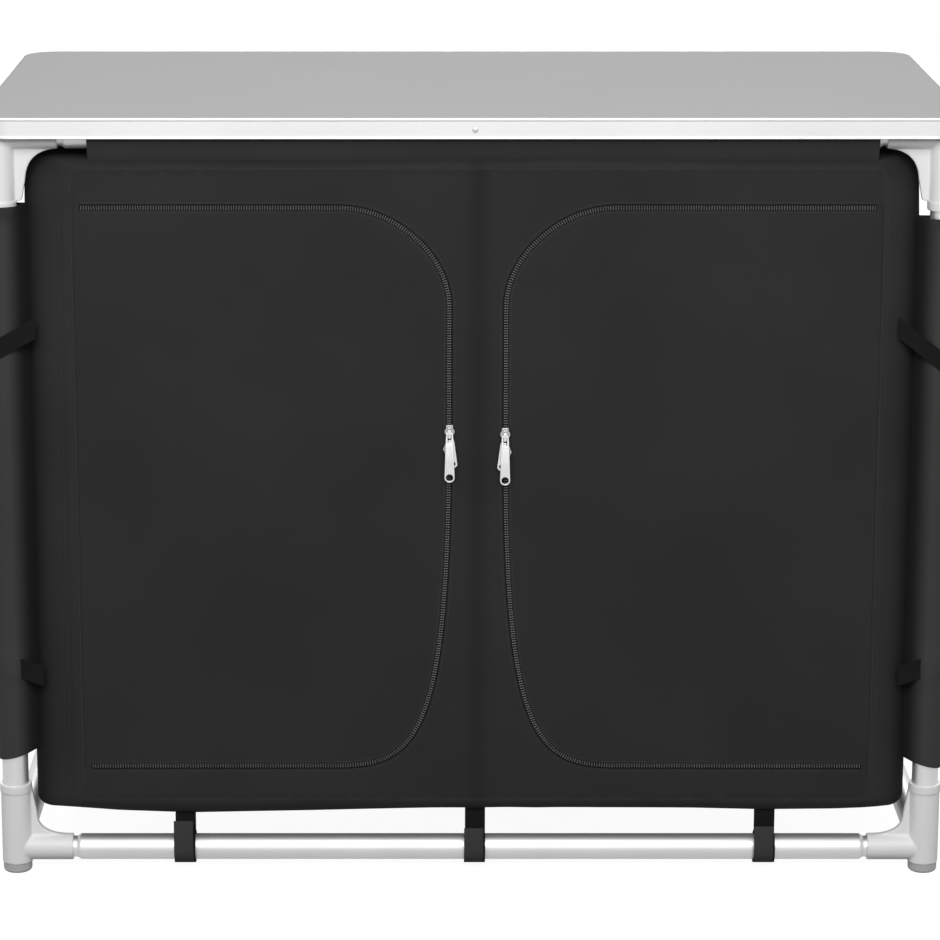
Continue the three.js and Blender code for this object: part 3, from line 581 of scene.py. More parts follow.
def ripple(a, b, seed):
    """A smooth, small wave pattern between -1 and 1 that stands in for the cloth's soft unevenness."""
    rng = np.random.default_rng(seed)
    total = np.zeros(np.shape(a))
    for _ in range(7):
        along, across = rng.uniform(-1, 1, 2)
        total = total + np.sin(a * along * 0.022 + b * across * 0.030 + rng.uniform(0, math.tau))
    return total / 7


def path_lengths(points):
    """How far each point lies along its path."""
    steps = np.diff(np.asarray(points, float), axis=0)
    return np.concatenate([[0], np.cumsum(np.linalg.norm(steps, axis=1))])


def smooth_step(share):
    return share * share * (3 - 2 * share)


SIDE_X = 454.5
FRONT_Y = -240
CLOTH_TOP, CLOTH_BOTTOM = 757, 63
CLOTH_MIDDLE = (0, 410)
FACE_LEFT, FACE_RIGHT, FACE_TOP, FACE_BOTTOM = -404, 416, 749, 82
SAG_X = [-454, -439, -417, -372, -298, -172, -38, 5, 53, 140, 233, 308, 385, 417, 439, 454]
SAG_Z = [68.5, 67.6, 66, 62.5, 59.9, 63.1, 67.4, 68, 70, 67.9, 66.6, 64.2, 64.6, 65.9, 67.6, 70.6]
SAG_REACHES = 150
DRAWN_IN, DRAWN_FROM, DRAWN_RISE = 0.0045, 660, 60
TUCK_X, TUCK_REACH = 450, 48
LEG_INNER_Y = 205
SQUARE_Y, SQUARE_FADE = 213, 14
EDGE_STEPS, DEPTH_STEPS = 9, 40


def loop_points(left, right, top, bottom, top_radius, low_radius, along_x=64, along_z=48, corner=9):
    """Points round the cabinet's outline, the same number for every size of outline."""
    points = []
    centres = [(right - top_radius, top - top_radius, top_radius),
               (left + top_radius, top - top_radius, top_radius),
               (left + low_radius, bottom + low_radius, low_radius),
               (right - low_radius, bottom + low_radius, low_radius)]
    for index, (x, z, radius) in enumerate(centres):
        for step in range(corner + 1):
            angle = math.pi / 2 * (index + step / corner)
            points.append((x + radius * math.cos(angle), z + radius * math.sin(angle)))
        next_x, next_z, next_radius = centres[(index + 1) % 4]
        angle = math.pi / 2 * (index + 1)
        start = points[-1]
        end = (next_x + next_radius * math.cos(angle), next_z + next_radius * math.sin(angle))
        count = along_x if index % 2 == 0 else along_z
        for step in range(1, count):
            share = step / count
            points.append((start[0] + (end[0] - start[0]) * share, start[1] + (end[1] - start[1]) * share))
    return np.array(points)


def sagged(loop):
    """The cloth's outline, drawn in a little at the top, with its lower edge pulled down at the outer straps."""
    sag = np.interp(loop[:, 0], SAG_X, SAG_Z) - CLOTH_BOTTOM
    low_share = np.clip((SAG_REACHES - loop[:, 1]) / (SAG_REACHES - CLOTH_BOTTOM), 0, 1) ** 2
    drawn_in = DRAWN_IN * np.clip((loop[:, 1] - DRAWN_FROM) / DRAWN_RISE, 0, 1)
    return np.stack([loop[:, 0] * (1 - drawn_in), loop[:, 1] + sag * low_share], axis=1)


def tucked(ring, y):
    """The cloth's top corners turn back behind the webs of the corner pieces."""
    gap = np.hypot(np.abs(ring[:, 0]) - TUCK_X, ring[:, 1] - CLOTH_TOP)
    share = smooth_step(np.clip(1 - gap / TUCK_REACH, 0, 1))
    return np.sign(y) * (np.abs(y) - share * np.maximum(np.abs(y) - LEG_INNER_Y, 0))


edge_loop = sagged(loop_points(-SIDE_X, SIDE_X, CLOTH_TOP, CLOTH_BOTTOM, 28, 11))
inner_loop = sagged(loop_points(-SIDE_X, SIDE_X, CLOTH_TOP, CLOTH_BOTTOM, 9, 13))
face_loop = loop_points(FACE_LEFT, FACE_RIGHT, FACE_TOP, FACE_BOTTOM, 14, 10)
round_the_loop = path_lengths(edge_loop)
spread = np.abs(edge_loop - face_loop)
sideways = spread[:, 0] / (spread[:, 0] + spread[:, 1] + 1)
edge_depth = 40 * sideways + np.where(edge_loop[:, 1] > 400, 7, 11) * (1 - sideways)
turns = [math.pi / 2 * step / EDGE_STEPS for step in range(EDGE_STEPS)]
wrap_rings = [(math.sin(turn), FRONT_Y + edge_depth * (1 - math.cos(turn))) for turn in turns]
wrap_rings += [(1.0, (FRONT_Y + edge_depth) * (1 - 2 * step / DEPTH_STEPS)) for step in range(DEPTH_STEPS + 1)]
wrap_rings += [(math.sin(turn), -FRONT_Y - edge_depth * (1 - math.cos(turn))) for turn in reversed(turns)]
wrap_points, wrap_places = [], []
for out_share, y in wrap_rings:
    square = smooth_step(np.clip((SQUARE_Y - np.abs(y)) / SQUARE_FADE, 0, 1))[:, None]
    ring = face_loop + ((1 - square) * edge_loop + square * inner_loop - face_loop) * out_share
    inward = np.array(CLOTH_MIDDLE) - ring
    inward /= np.linalg.norm(inward, axis=1)[:, None]
    middle_share = np.clip(1 - np.abs(y) / LEG_INNER_Y, 0, 1)
    wave = ripple(round_the_loop * 0.8, y * 1.6, 4)
    pinch = (1.6 * wave + 2.0) * middle_share + 0.25 * (wave + 1) * out_share
    ring = ring + inward * pinch[:, None]
    wrap_points += [(x, depth, z) for (x, z), depth in zip(ring, tucked(ring, y))]
    wrap_places += list(zip(round_the_loop, y))
wrap_faces = flipped(tube_faces(len(wrap_rings), len(face_loop), closed_rings=False))

# Door openings: each zip runs along the top of its door, down round the free side and back along the bottom.
# The front is cut along the zip, and the cloth stays whole between the zip's two ends.
DOOR_MIDDLE = 6
HINGE_REACH = 402.5
FREE_REACH = 28.3
DOOR_TOP, DOOR_BOTTOM = 708.5, 118.5
TOP_TURN_X, TOP_TURN_Z, TOP_EASE = 112, 102, 0.48
LOW_TURN_X, LOW_TURN_SHARE = 121, 0.6
ZIP_HALF = 3.0
ZIP_END = 2.6
HINGE_OVERLAP = 4.0
SEAM_X = 7
FOLD_LEFT, FOLD_RIGHT = -399, 411
RIM_FADE = 40


def smooth_path(points, spacing):
    points = np.array(points, float)
    lengths = path_lengths(points)
    count = max(2, round(lengths[-1] / spacing))
    at = np.linspace(0, lengths[-1], count + 1)
    return np.stack([np.interp(at, lengths, points[:, k]) for k in range(points.shape[1])], axis=1)


def bezier(a, b, c, d, steps=60):
    a, b, c, d = (np.array(v, float) for v in (a, b, c, d))
    t = np.linspace(0, 1, steps + 1)[:, None]
    return a * (1 - t) ** 3 + 3 * b * t * (1 - t) ** 2 + 3 * c * t * t * (1 - t) + d * t ** 3


def zip_line(sign, spacing, hinge_reach=HINGE_REACH):
    """The zip's line on one door, and the direction that points out of the door at each of its points."""
    def at(reach, z):
        return (DOOR_MIDDLE + sign * reach, z)

    lower = LOW_TURN_SHARE * (DOOR_TOP - DOOR_BOTTOM)
    upper = bezier(at(FREE_REACH + TOP_TURN_X, DOOR_TOP), at(FREE_REACH + TOP_TURN_X * TOP_EASE, DOOR_TOP),
                   at(FREE_REACH, DOOR_TOP - TOP_TURN_Z * TOP_EASE), at(FREE_REACH, DOOR_TOP - TOP_TURN_Z))
    under = bezier(at(FREE_REACH, DOOR_BOTTOM + lower), at(FREE_REACH, DOOR_BOTTOM + lower * 0.06),
                   at(FREE_REACH + LOW_TURN_X * 0.3, DOOR_BOTTOM), at(FREE_REACH + LOW_TURN_X, DOOR_BOTTOM))
    path = smooth_path([at(hinge_reach, DOOR_TOP), *upper, *under, at(hinge_reach, DOOR_BOTTOM)], spacing)
    along = np.gradient(path, axis=0)
    along /= np.linalg.norm(along, axis=1)[:, None]
    return path, np.stack([-along[:, 1], along[:, 0]], axis=1) * -sign


def distances(points, others):
    """How far each point lies from each of the others."""
    return np.sqrt(((np.asarray(points)[..., None, :] - np.asarray(others)) ** 2).sum(-1))


def rim_share(value, low, high, fade=RIM_FADE):
    """Nothing at both limits, and all from the fade's length inwards."""
    return np.clip(np.minimum(value - low, high - value) / fade, 0, 1)


zip_paths = [zip_line(sign, 6)[0] for _, sign in SIDES]


def front_depth(x, z):
    """How far the front cloth's outer face lies behind its flat plane, in millimetres."""
    x, z = np.asarray(x, float), np.asarray(z, float)
    seam = 1.4 * np.exp(-(((x - SEAM_X) / 4.5) ** 2)) + 2.2 * np.exp(-(((x - SEAM_X) / 17) ** 2))
    ridge = -0.5 * np.exp(-(((x - FOLD_LEFT) / 5) ** 2)) - 0.3 * np.exp(-(((x - FOLD_RIGHT) / 5) ** 2))
    slack = 0.9 * (ripple(x, z * 0.45, 11) + 0.6)
    upright = rim_share(z, FACE_BOTTOM, FACE_TOP)
    calm = rim_share(x, FACE_LEFT, FACE_RIGHT) * upright
    pucker = np.zeros(np.shape(x))
    for path in zip_paths:
        gap = distances(np.stack([x, z], axis=-1), path)
        nearest = gap.argmin(-1)
        close = np.exp(-((gap.min(-1) / 14) ** 2))
        pucker = pucker + close * (0.32 * np.sin(nearest * 1.9) + 0.12 * np.sin(nearest * 0.83 + 1) + 0.3)
    depth = seam * rim_share(z, FACE_BOTTOM, FACE_TOP, 60) + slack * calm + pucker * calm
    return np.maximum(depth, 0) + ridge * upright


def on_front(flat, rise=0.0):
    """Places on the front cloth, raised above its face."""
    return np.stack([flat[:, 0], FRONT_Y + front_depth(flat[:, 0], flat[:, 1]) - rise, flat[:, 1]], axis=1)


def inside(points, outline):
    x, z = points[:, 0], points[:, 1]
    hit = np.zeros(len(points), bool)
    for (ax, az), (bx, bz) in zip(outline, np.roll(outline, -1, axis=0)):
        crosses = (az > z) != (bz > z)
        hit ^= crosses & (x < (bx - ax) * (z - az) / ((bz - az) or 1e-9) + ax)
    return hit


def filled(outline, holes=(), pitch=9.0, extra=()):
    """Triangles over a flat outline with holes, small enough for the cloth's folds to show."""
    low, high = outline.min(0), outline.max(0)
    grid = np.array([(x + (row % 2) * pitch / 2, z)
                     for row, z in enumerate(np.arange(low[1], high[1], pitch * 0.87))
                     for x in np.arange(low[0], high[0], pitch)])
    if len(extra):
        near = distances(grid, extra).min(1) < pitch * 0.5
        grid = np.concatenate([grid[~near], extra])
    spare = np.full(len(grid), pitch * 0.5)
    spare[len(grid) - len(extra):] = 0.8
    rims = [outline, *holes]

    def wanted(places):
        good = inside(places, outline)
        for hole in holes:
            good &= ~inside(places, hole)
        return good

    keep = wanted(grid)
    for rim in rims:
        keep &= distances(grid, rim).min(1) > spare
    vectors = [Vector(p) for rim in rims for p in rim] + [Vector(p) for p in grid[keep]]
    edges, start = [], 0
    for rim in rims:
        edges += [(start + i, start + (i + 1) % len(rim)) for i in range(len(rim))]
        start += len(rim)
    points, _, faces, *_ = delaunay_2d_cdt(vectors, edges, [], 0, 1e-5)
    points = np.array([tuple(p) for p in points])
    kept = wanted(np.array([points[list(face)].mean(0) for face in faces]))
    return points, [tuple(face) for face, good in zip(faces, kept) if good]


def flap_outline(sign, offset, reach):
    """The cut edge beside a zip. Beyond the zip's ends the door and the front meet, as far out as reach."""
    path, outward = zip_line(sign, 5, HINGE_REACH - ZIP_END)
    zip_x, end_x = (DOOR_MIDDLE + sign * value for value in (HINGE_REACH - ZIP_END, reach))
    meet = math.copysign(0.1, offset)
    first = [(end_x, DOOR_TOP + meet), (zip_x, DOOR_TOP + meet)]
    last = [(zip_x, DOOR_BOTTOM - meet), (end_x, DOOR_BOTTOM - meet)]
    fold = [(end_x, z) for z in np.linspace(DOOR_BOTTOM, DOOR_TOP, 60)[1:-1]]
    return np.concatenate([first, path + outward * offset, last, fold])


def painted_crease_shade(points):
    """Painted shade in the cloth's creases: down the front at the divider's seam, and in the hollows beside the leg
    sleeves.
    """
    front = np.clip((-225 - points[:, 1]) / 10, 0, 1)
    seam = front * 0.31 * np.exp(-(((points[:, 0] - SEAM_X) / 9) ** 2))
    beside = np.clip((np.abs(points[:, 0]) - 424) / 24, 0, 1) * np.clip((np.abs(points[:, 1]) - 185) / 22, 0, 1)
    return np.maximum(seam, 0.75 * beside ** 2.2)


openings = [flap_outline(sign, ZIP_HALF, HINGE_REACH + HINGE_OVERLAP) for _, sign in SIDES]
front_flat, front_faces = filled(face_loop, openings)
gaps = distances(front_flat, face_loop)
joined_to = [int(gap.argmin()) if gap.min() < 0.01 else len(wrap_points) + i for i, gap in enumerate(gaps)]
front_faces = [tuple(joined_to[corner] for corner in face) for face in front_faces]
cabinet_points = np.concatenate([np.array(wrap_points), on_front(front_flat)])
cabinet_places = np.concatenate([np.array(wrap_places), front_flat])
charcoal = weave_material("charcoal_cloth", (0.024, 0.024, 0.0245), (0.036, 0.036, 0.0365), 0.0009, 0.8)
# The cabinet's cloth carries painted shade in its creases and in the hollows beside the leg sleeves.
cabinet = add_cloth(
    "cabinet_cloth", cabinet_points, wrap_faces + front_faces, cabinet_places, charcoal, slot="charcoal_fabric",
    painted_shade=painted_crease_shade(cabinet_points),
    stands_for=["cabinet_top", "cabinet_floor", "cabinet_side_left", "cabinet_side_right", "cabinet_front"],
)

# Back panel: one plain sheet of the same cloth, sewn to the band all round. It lies a little slack in the middle.
back_flat, back_faces = filled(face_loop, pitch=12)
back_x, back_z = back_flat.T
back_slack = 1.4 * (ripple(back_x, back_z * 0.6, 23) + 1)
back_rim = np.minimum(rim_share(back_x, FACE_LEFT, FACE_RIGHT, 50), rim_share(back_z, FACE_BOTTOM, FACE_TOP, 50))
back_points = np.stack([back_x, -FRONT_Y - back_slack * back_rim, back_z], axis=1)
back = add_cloth("back_panel", back_points, flipped(back_faces), back_flat, charcoal,
                 stands_for=["cabinet_back"], slot="charcoal_fabric")


# Divider and shelves: a sheet of the same cloth hangs between the two compartments, and a board lies in each.
# The boards are dark hardboard with a smooth face. Neither shows until a door is open.
DIVIDER_X = 9
DIVIDER_DEPTH, DIVIDER_HEIGHT, DIVIDER_BOTTOM = 464, 671, 79
DIVIDER_ROWS, DIVIDER_COLUMNS = 24, 16
SHELF_TOP, SHELF_THICKNESS = 410, 9
SHELF_HALF_DEPTH, SHELF_CORNER = 232, 36
divider_points, divider_places = [], []
for row in range(DIVIDER_ROWS + 1):
    for column in range(DIVIDER_COLUMNS + 1):
        y = DIVIDER_DEPTH * column / DIVIDER_COLUMNS - DIVIDER_DEPTH / 2
        z = DIVIDER_BOTTOM + DIVIDER_HEIGHT * row / DIVIDER_ROWS
        bow = math.sin(math.pi * column / DIVIDER_COLUMNS) * math.sin(math.pi * row / DIVIDER_ROWS)
        divider_points.append((DIVIDER_X + 2.5 * bow * math.sin(y / 70 + z / 190), y, z))
        divider_places.append((y, z))
divider_faces = tube_faces(DIVIDER_ROWS + 1, DIVIDER_COLUMNS + 1, False, False)
divider = add_cloth("divider_cloth", divider_points, divider_faces, np.array(divider_places), charcoal,
                    thickness=1.6, stands_for=["cabinet_divider"], slot="charcoal_fabric")

hardboard = grained(
    "dark_hardboard", grey(0.045), 0.5, 0.0, (240, 5), stretch=(1, 1, 6),
    tint=((0.034, 0.034, 0.035), (0.058, 0.058, 0.057)), gloss=(0.42, 0.62), relief=(0.0001, 0.3),
)
for side, inner_x, outer_x in (("left", 5.5, -446), ("right", 11, 446)):
    middle = (inner_x + outer_x) / 2
    half = abs(outer_x - inner_x) / 2
    outline = rounded_loop(half, SHELF_HALF_DEPTH, SHELF_CORNER, 10)
    shelf_points = []
    for inset, z in ((1.2, 0), (0.3, 0.4), (0, 1.2), (0, 7.8), (0.3, 8.6), (1.2, SHELF_THICKNESS)):
        shelf_points += [(middle + x * (1 - inset / half), y * (1 - inset / SHELF_HALF_DEPTH),
                          SHELF_TOP - SHELF_THICKNESS + z) for x, y in outline]
    around = len(outline)
    shelf_faces = tube_faces(6, around, closed_rings=False)
    shelf_faces += [tuple(reversed(range(around))), tuple(range(5 * around, 6 * around))]
    add_piece(f"shelf_board_{side}", shelf_points, shelf_faces, hardboard,
              stands_for=[f"shelf_{side}"], slot="shelf_board")


# Doors: two D-shaped flaps of the cabinet's cloth, one inside each zip. Each runs on into the cabinet's front at
# its outer side, along a pressed fold.
FOLD_HALF = 2.5
FOLD_MIDDLE_Z = 413.5
for side, sign in SIDES:
    folds = [(DOOR_MIDDLE + sign * (HINGE_REACH + out), z) for out in (2.2, 0.8, -0.8, -2.2, -5)
             for z in np.linspace(DOOR_BOTTOM + 6, DOOR_TOP - 6, 66)]
    flat, faces = filled(flap_outline(sign, -ZIP_HALF, HINGE_REACH + HINGE_OVERLAP - 0.2), extra=folds)
    door = add_cloth(f"door_flap_{side}", on_front(flat), faces, flat, charcoal, body=None,
                     stands_for=[f"door_{side}"], slot="charcoal_fabric")
    turn = FOLD_HALF * MILLIMETRE
    middle = (FRONT_Y * MILLIMETRE, FOLD_MIDDLE_Z * MILLIMETRE)
    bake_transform(door)
    size = (flat.max(0) - flat.min(0)) * MILLIMETRE


# Zips: a nylon coil zip on a narrow tape, sewn between each door and the front. The coil shows as two rows of
# fine teeth, and a row of stitches runs along each side of it. The same thread sews the front to the band.
OUTWARD = np.array([0.0, -1.0, 0.0])
TAPE_COLUMNS = np.linspace(-2.8, 2.8, 5)
TAPE_RISE, COIL_RISE = -1.5, -1.3
COIL_ROWS = (-1.65, 0.55)
STITCH_GAP = 5.2


def small_bars(flat, rise, directions, half_length, half_width, height):
    """Short rounded bars on the front, one at each flat place: coil teeth or stitches."""
    centres = on_front(flat, rise)
    along = np.stack([directions[:, 0], np.zeros(len(flat)), directions[:, 1]], axis=1)
    along /= np.linalg.norm(along, axis=1)[:, None]
    across = np.cross(along, OUTWARD)
    across /= np.linalg.norm(across, axis=1)[:, None]
    points = []
    for reach, share in ((-1, 0.45), (-0.7, 1), (0.7, 1), (1, 0.45)):
        for side, level in ((-1, -0.4), (-0.8, 0.75), (0, 1), (0.8, 0.75), (1, -0.4)):
            points.append(centres + along * reach * half_length + across * side * half_width * share
                          + OUTWARD * level * height * share)
    bar = tube_faces(4, 5, closed_rings=False) + [(4, 3, 2, 1, 0), (15, 16, 17, 18, 19)]
    faces = [tuple(corner + 20 * i for corner in face) for i in range(len(flat)) for face in bar]
    return np.stack(points, axis=1).reshape(-1, 3), faces


def add_stitches(name, line, half_length, **settings):
    points, faces = small_bars(line, 0.0, np.gradient(line, axis=0), half_length, 0.25, 0.16)
    add_piece(name, points, faces, thread, **settings)


zip_tape = weave_material("zip_tape", grey(0.013), grey(0.020), 0.0006, 0.85)
coil_nylon = grained("coil_nylon", grey(0.05), 0.5, 0.0, (90, 3), tint=(grey(0.045), grey(0.15)), gloss=(0.4, 0.6))
thread = grained("sewing_thread", grey(0.028), 0.7, 0.0, (900, 2), tint=(grey(0.022), grey(0.036)))
for side, sign in SIDES:
    path, outward = zip_line(sign, 4, HINGE_REACH - ZIP_END - 0.2)
    rows = [on_front(path + outward * sign * column, TAPE_RISE) for column in TAPE_COLUMNS]
    places = [(s, column) for s in path_lengths(path) for column in TAPE_COLUMNS]
    faces = tube_faces(len(path), len(TAPE_COLUMNS), False, False)
    add_cloth(f"zip_tape_{side}", np.stack(rows, axis=1).reshape(-1, 3), faces, np.array(places), zip_tape,
              thickness=1.0, body=f"{side}_door", stands_for=[f"zip_chain_{side}"], slot="zip_coil")
    path, outward = zip_line(sign, 2.6, HINGE_REACH - ZIP_END - 1.4)
    teeth = np.concatenate([path + outward * row for row in COIL_ROWS])
    points, faces = small_bars(teeth, COIL_RISE, np.tile(outward, (2, 1)), 1.1, 0.6, 1.0)
    add_piece(f"zip_coil_{side}", points, faces, coil_nylon, f"{side}_door", slot="zip_coil")
    path, outward = zip_line(sign, 3.4, HINGE_REACH - 6)
    for row, gap, body in (("door", -STITCH_GAP, f"{side}_door"), ("front", STITCH_GAP, "frame_and_cabinet")):
        add_stitches(f"zip_stitches_{row}_{side}", path + outward * gap, 1.15, body=body, slot="zip_coil")

seam_line = smooth_path(np.vstack([face_loop, face_loop[:1]]), 3.8)[:-1]
add_stitches("seam_stitches_front", seam_line * 0.997 + np.array([0, 1.2]), 1.3, slot="charcoal_fabric")


# Zip sliders: die-cast and nickel plated. Each has a shield-shaped body with an arched bridge, a long pull tab in
# front and a shorter one behind it, and below it the edge of the zip's second slider.
def plate(name, outline, holes, half_thickness, edge, bends=()):
    """A flat plate with rounded edges, drawn in X and Z about its own centre, with a row of points at each bend."""
    drawing = bpy.data.curves.new(name, "CURVE")
    drawing.dimensions = "2D"
    drawing.fill_mode = "BOTH"
    drawing.extrude = half_thickness - edge
    drawing.bevel_depth = edge
    drawing.bevel_resolution = 2
    drawing.offset = -edge
    for loop in (outline, *holes):
        spline = drawing.splines.new("POLY")
        spline.points.add(len(loop) - 1)
        for point, (x, z) in zip(spline.points, loop):
            point.co = (x, z, 0, 1)
        spline.use_cyclic_u = True
    holder = add_object(name, drawing)
    bpy.context.view_layer.update()
    mesh = bpy.data.meshes.new_from_object(holder.evaluated_get(bpy.context.evaluated_depsgraph_get()))
    bpy.data.objects.remove(holder)
    shape = bmesh.new()
    shape.from_mesh(mesh)
    for z in bends:
        everything = [*shape.verts, *shape.edges, *shape.faces]
        bmesh.ops.bisect_plane(shape, geom=everything, plane_co=(0, z, 0), plane_no=(0, 1, 0))
    shape.verts.index_update()
    points = np.array([(v.co.x, v.co.z, v.co.y) for v in shape.verts])
    faces = [tuple(v.index for v in face.verts) for face in shape.faces]
    shape.free()
    return points, faces


SLIDER_Y = FRONT_Y - 4.3
PULL_Y, SHORT_PULL_Y = -245.75, -244.65
PULL_END = -45.8
PULL_BEND = 27
shield = [(-3.4, 8.5), (3.4, 8.5), (3.6, 6.2), *arc(1.6, 1.4, 3.65, 50, -25, 6), (3.7, -2.2), (3.3, -4.8),
          (2.6, -5.6), (-2.6, -5.6), (-3.3, -4.8), (-3.7, -2.2), *arc(-1.6, 1.4, 3.65, 205, 130, 6), (-3.6, 6.2)]
pull_outline = [(-3.0, 0.8), (3.0, 0.8), (3.4, 0.2), (3.8, -6), *arc(0, PULL_END, 5.2, 8, -188, 22),
                (-3.8, -6), (-3.4, 0.2)]
pull_eye = [(-1.9, -0.9), (1.9, -0.9), (1.9, -8.2), *arc(0, -8.6, 1.9, 0, -180, 8)]
short_outline = [(-2.7, 0.8), (2.7, 0.8), (3.2, -2), (3.7, -24), *arc(0, -25, 3.8, -8, -172, 12),
                 (-3.7, -24), (-3.2, -2)]
body_plate, body_faces = plate("slider_body", shield, [], 1.6, 0.7)
pull_plate, pull_faces = plate("pull_tab", pull_outline, [pull_eye, arc(0, PULL_END, 3.7, 0, 345, 23)],
                               0.7, 0.3, (-25, -29))
short_plate, short_faces = plate("short_pull_tab", short_outline, [arc(0, -24.6, 2.1, 0, 337, 15)], 0.3, 0.12)
bridge_path = [(5.5, -0.4), (5.2, 2.6), (4.2, 3.9), (2.4, 4.2), (-2.4, 4.2), (-4.2, 3.9), (-5.2, 2.6), (-5.5, -0.4)]
bridge_points = []
for z, rise in bridge_path:
    shrink = 1 - 1.3 / max(math.hypot(z, rise), 2)
    for x, k in ((-1.3, 1), (1.3, 1), (1.3, shrink), (-1.3, shrink)):
        bridge_points.append((x, SLIDER_Y - rise * k + 0.4, z * k))
bridge_faces = tube_faces(len(bridge_path), 4, closed_rings=False) + [(0, 1, 2, 3), (28, 29, 30, 31)]
slider_points = body_plate + np.array([0, SLIDER_Y + 1.6, 0])
tab_points = pull_plate + np.array([0, PULL_Y, 0])
tab_points[:, 1] -= 0.11 * np.clip(-tab_points[:, 2], 0, PULL_BEND)
tab_points[:, 1] += 0.08 * np.clip(-PULL_BEND - tab_points[:, 2], 0, 30)

nickel = grained(
    "nickel_plate", grey(0.80), 0.28, 0.9, (700, 4), cloud=(90, 2),
    tint=(grey(0.78), grey(0.95)), gloss=(0.2, 0.45), relief=(0.00004, 0.4),
)
die_cast = grained(
    "die_cast_zinc", grey(0.46), 0.38, 0.85, (800, 4),
    tint=(grey(0.30), grey(0.62)), gloss=(0.3, 0.55), relief=(0.00008, 0.5),
)
for side, sign, height in (("left", -1, 476.5), ("right", 1, 473.5)):
    middle = np.array([DOOR_MIDDLE + sign * FREE_REACH, 0, height])
    second_points = body_plate * np.array([0.9, 0.9, 0.7]) + np.array([sign * 2.0, SLIDER_Y + 1.8, -18.0])
    lean = Matrix.Rotation(math.radians(6 * sign), 4, "Y")
    short_points = np.array(placed(short_plate, lean)) + np.array([-sign * 1.5, SHORT_PULL_Y, -7.5])
    for name, points, faces, metal, body, stands_for in (
        ("slider", slider_points, body_faces, die_cast, "slider", [f"zip_slider_{side}"]),
        ("slider_bridge", bridge_points, bridge_faces, nickel, "slider", ()),
        ("second_slider", second_points, body_faces, die_cast, "slider", ()),
        ("pull", tab_points, pull_faces, nickel, "pull", [f"zip_pull_{side}"]),
        ("second_pull", short_points, short_faces, nickel, "pull", ()),
    ):
        add_piece(f"{name}_{side}", np.array(points) + middle, faces, metal, f"{side}_{body}",
                  stands_for=stands_for, slot="zip_metal")


# Hems: the cabinet's cloth is sewn in a loop round the front and rear upper rails, and hangs from them. The cloth
# here, round the legs and on the strap patches is drawn in a lighter copy of the same cloth: painted light.
def loop_section(radius, half_gap, stem, taut=False, steps=40):
    """A loop round a bar at the origin, with both its ends side by side below the bar, as far down as stem.
    A taut loop leaves the bar in a straight line to the seam at its ends."""
    start = math.acos(radius / -stem) if taut else math.asin(half_gap / radius)
    angles = [-math.pi / 2 + start + (math.tau - 2 * start) * k / steps for k in range(steps + 1)]
    loop = [(radius * math.cos(a), radius * math.sin(a)) for a in angles]
    leave_x, leave_z = loop[0]
    down = [(half_gap + (leave_x - half_gap) * k / 8, stem + (leave_z - stem) * k / 8) for k in range(8)]
    return down + loop + [(-x, z) for x, z in reversed(down)]


HEM_LEFT, HEM_RIGHT = -385.5, 407.5
HEM_ROWS = 90
SEAM_GAP = 1.25
# Painted light: a lighter copy of the cabinet's cloth, used for the hems, the leg sleeves and the strap patches.
painted_light_cloth = weave_material("cloth_painted_lighter", (0.042, 0.042, 0.0425), (0.060, 0.060, 0.0605), 0.0009, 0.72)
hem_section = loop_section(15.0, SEAM_GAP, -28, taut=True)
length = path_lengths(hem_section)
for end, sign in ENDS:
    points, places = [], []
    for row in range(HEM_ROWS + 1):
        x = HEM_LEFT + (HEM_RIGHT - HEM_LEFT) * row / HEM_ROWS
        for (y, z), s in zip(hem_section, length):
            loose = 1 + 0.012 * float(ripple(np.array(x * 2.2), np.array(s * 3.0), 31)) if z > -14 else 1
            points.append((x, sign * LEG_Y + y * loose, TOP_RAIL_Z + z * loose))
            places.append((x, s))
    faces = flipped(tube_faces(HEM_ROWS + 1, len(hem_section), False, False))
    hem = add_cloth(f"hem_band_{end}", points, faces, np.array(places), painted_light_cloth, thickness=1.1,
                    stands_for=[f"hem_sleeve_{end}"], slot="charcoal_fabric")


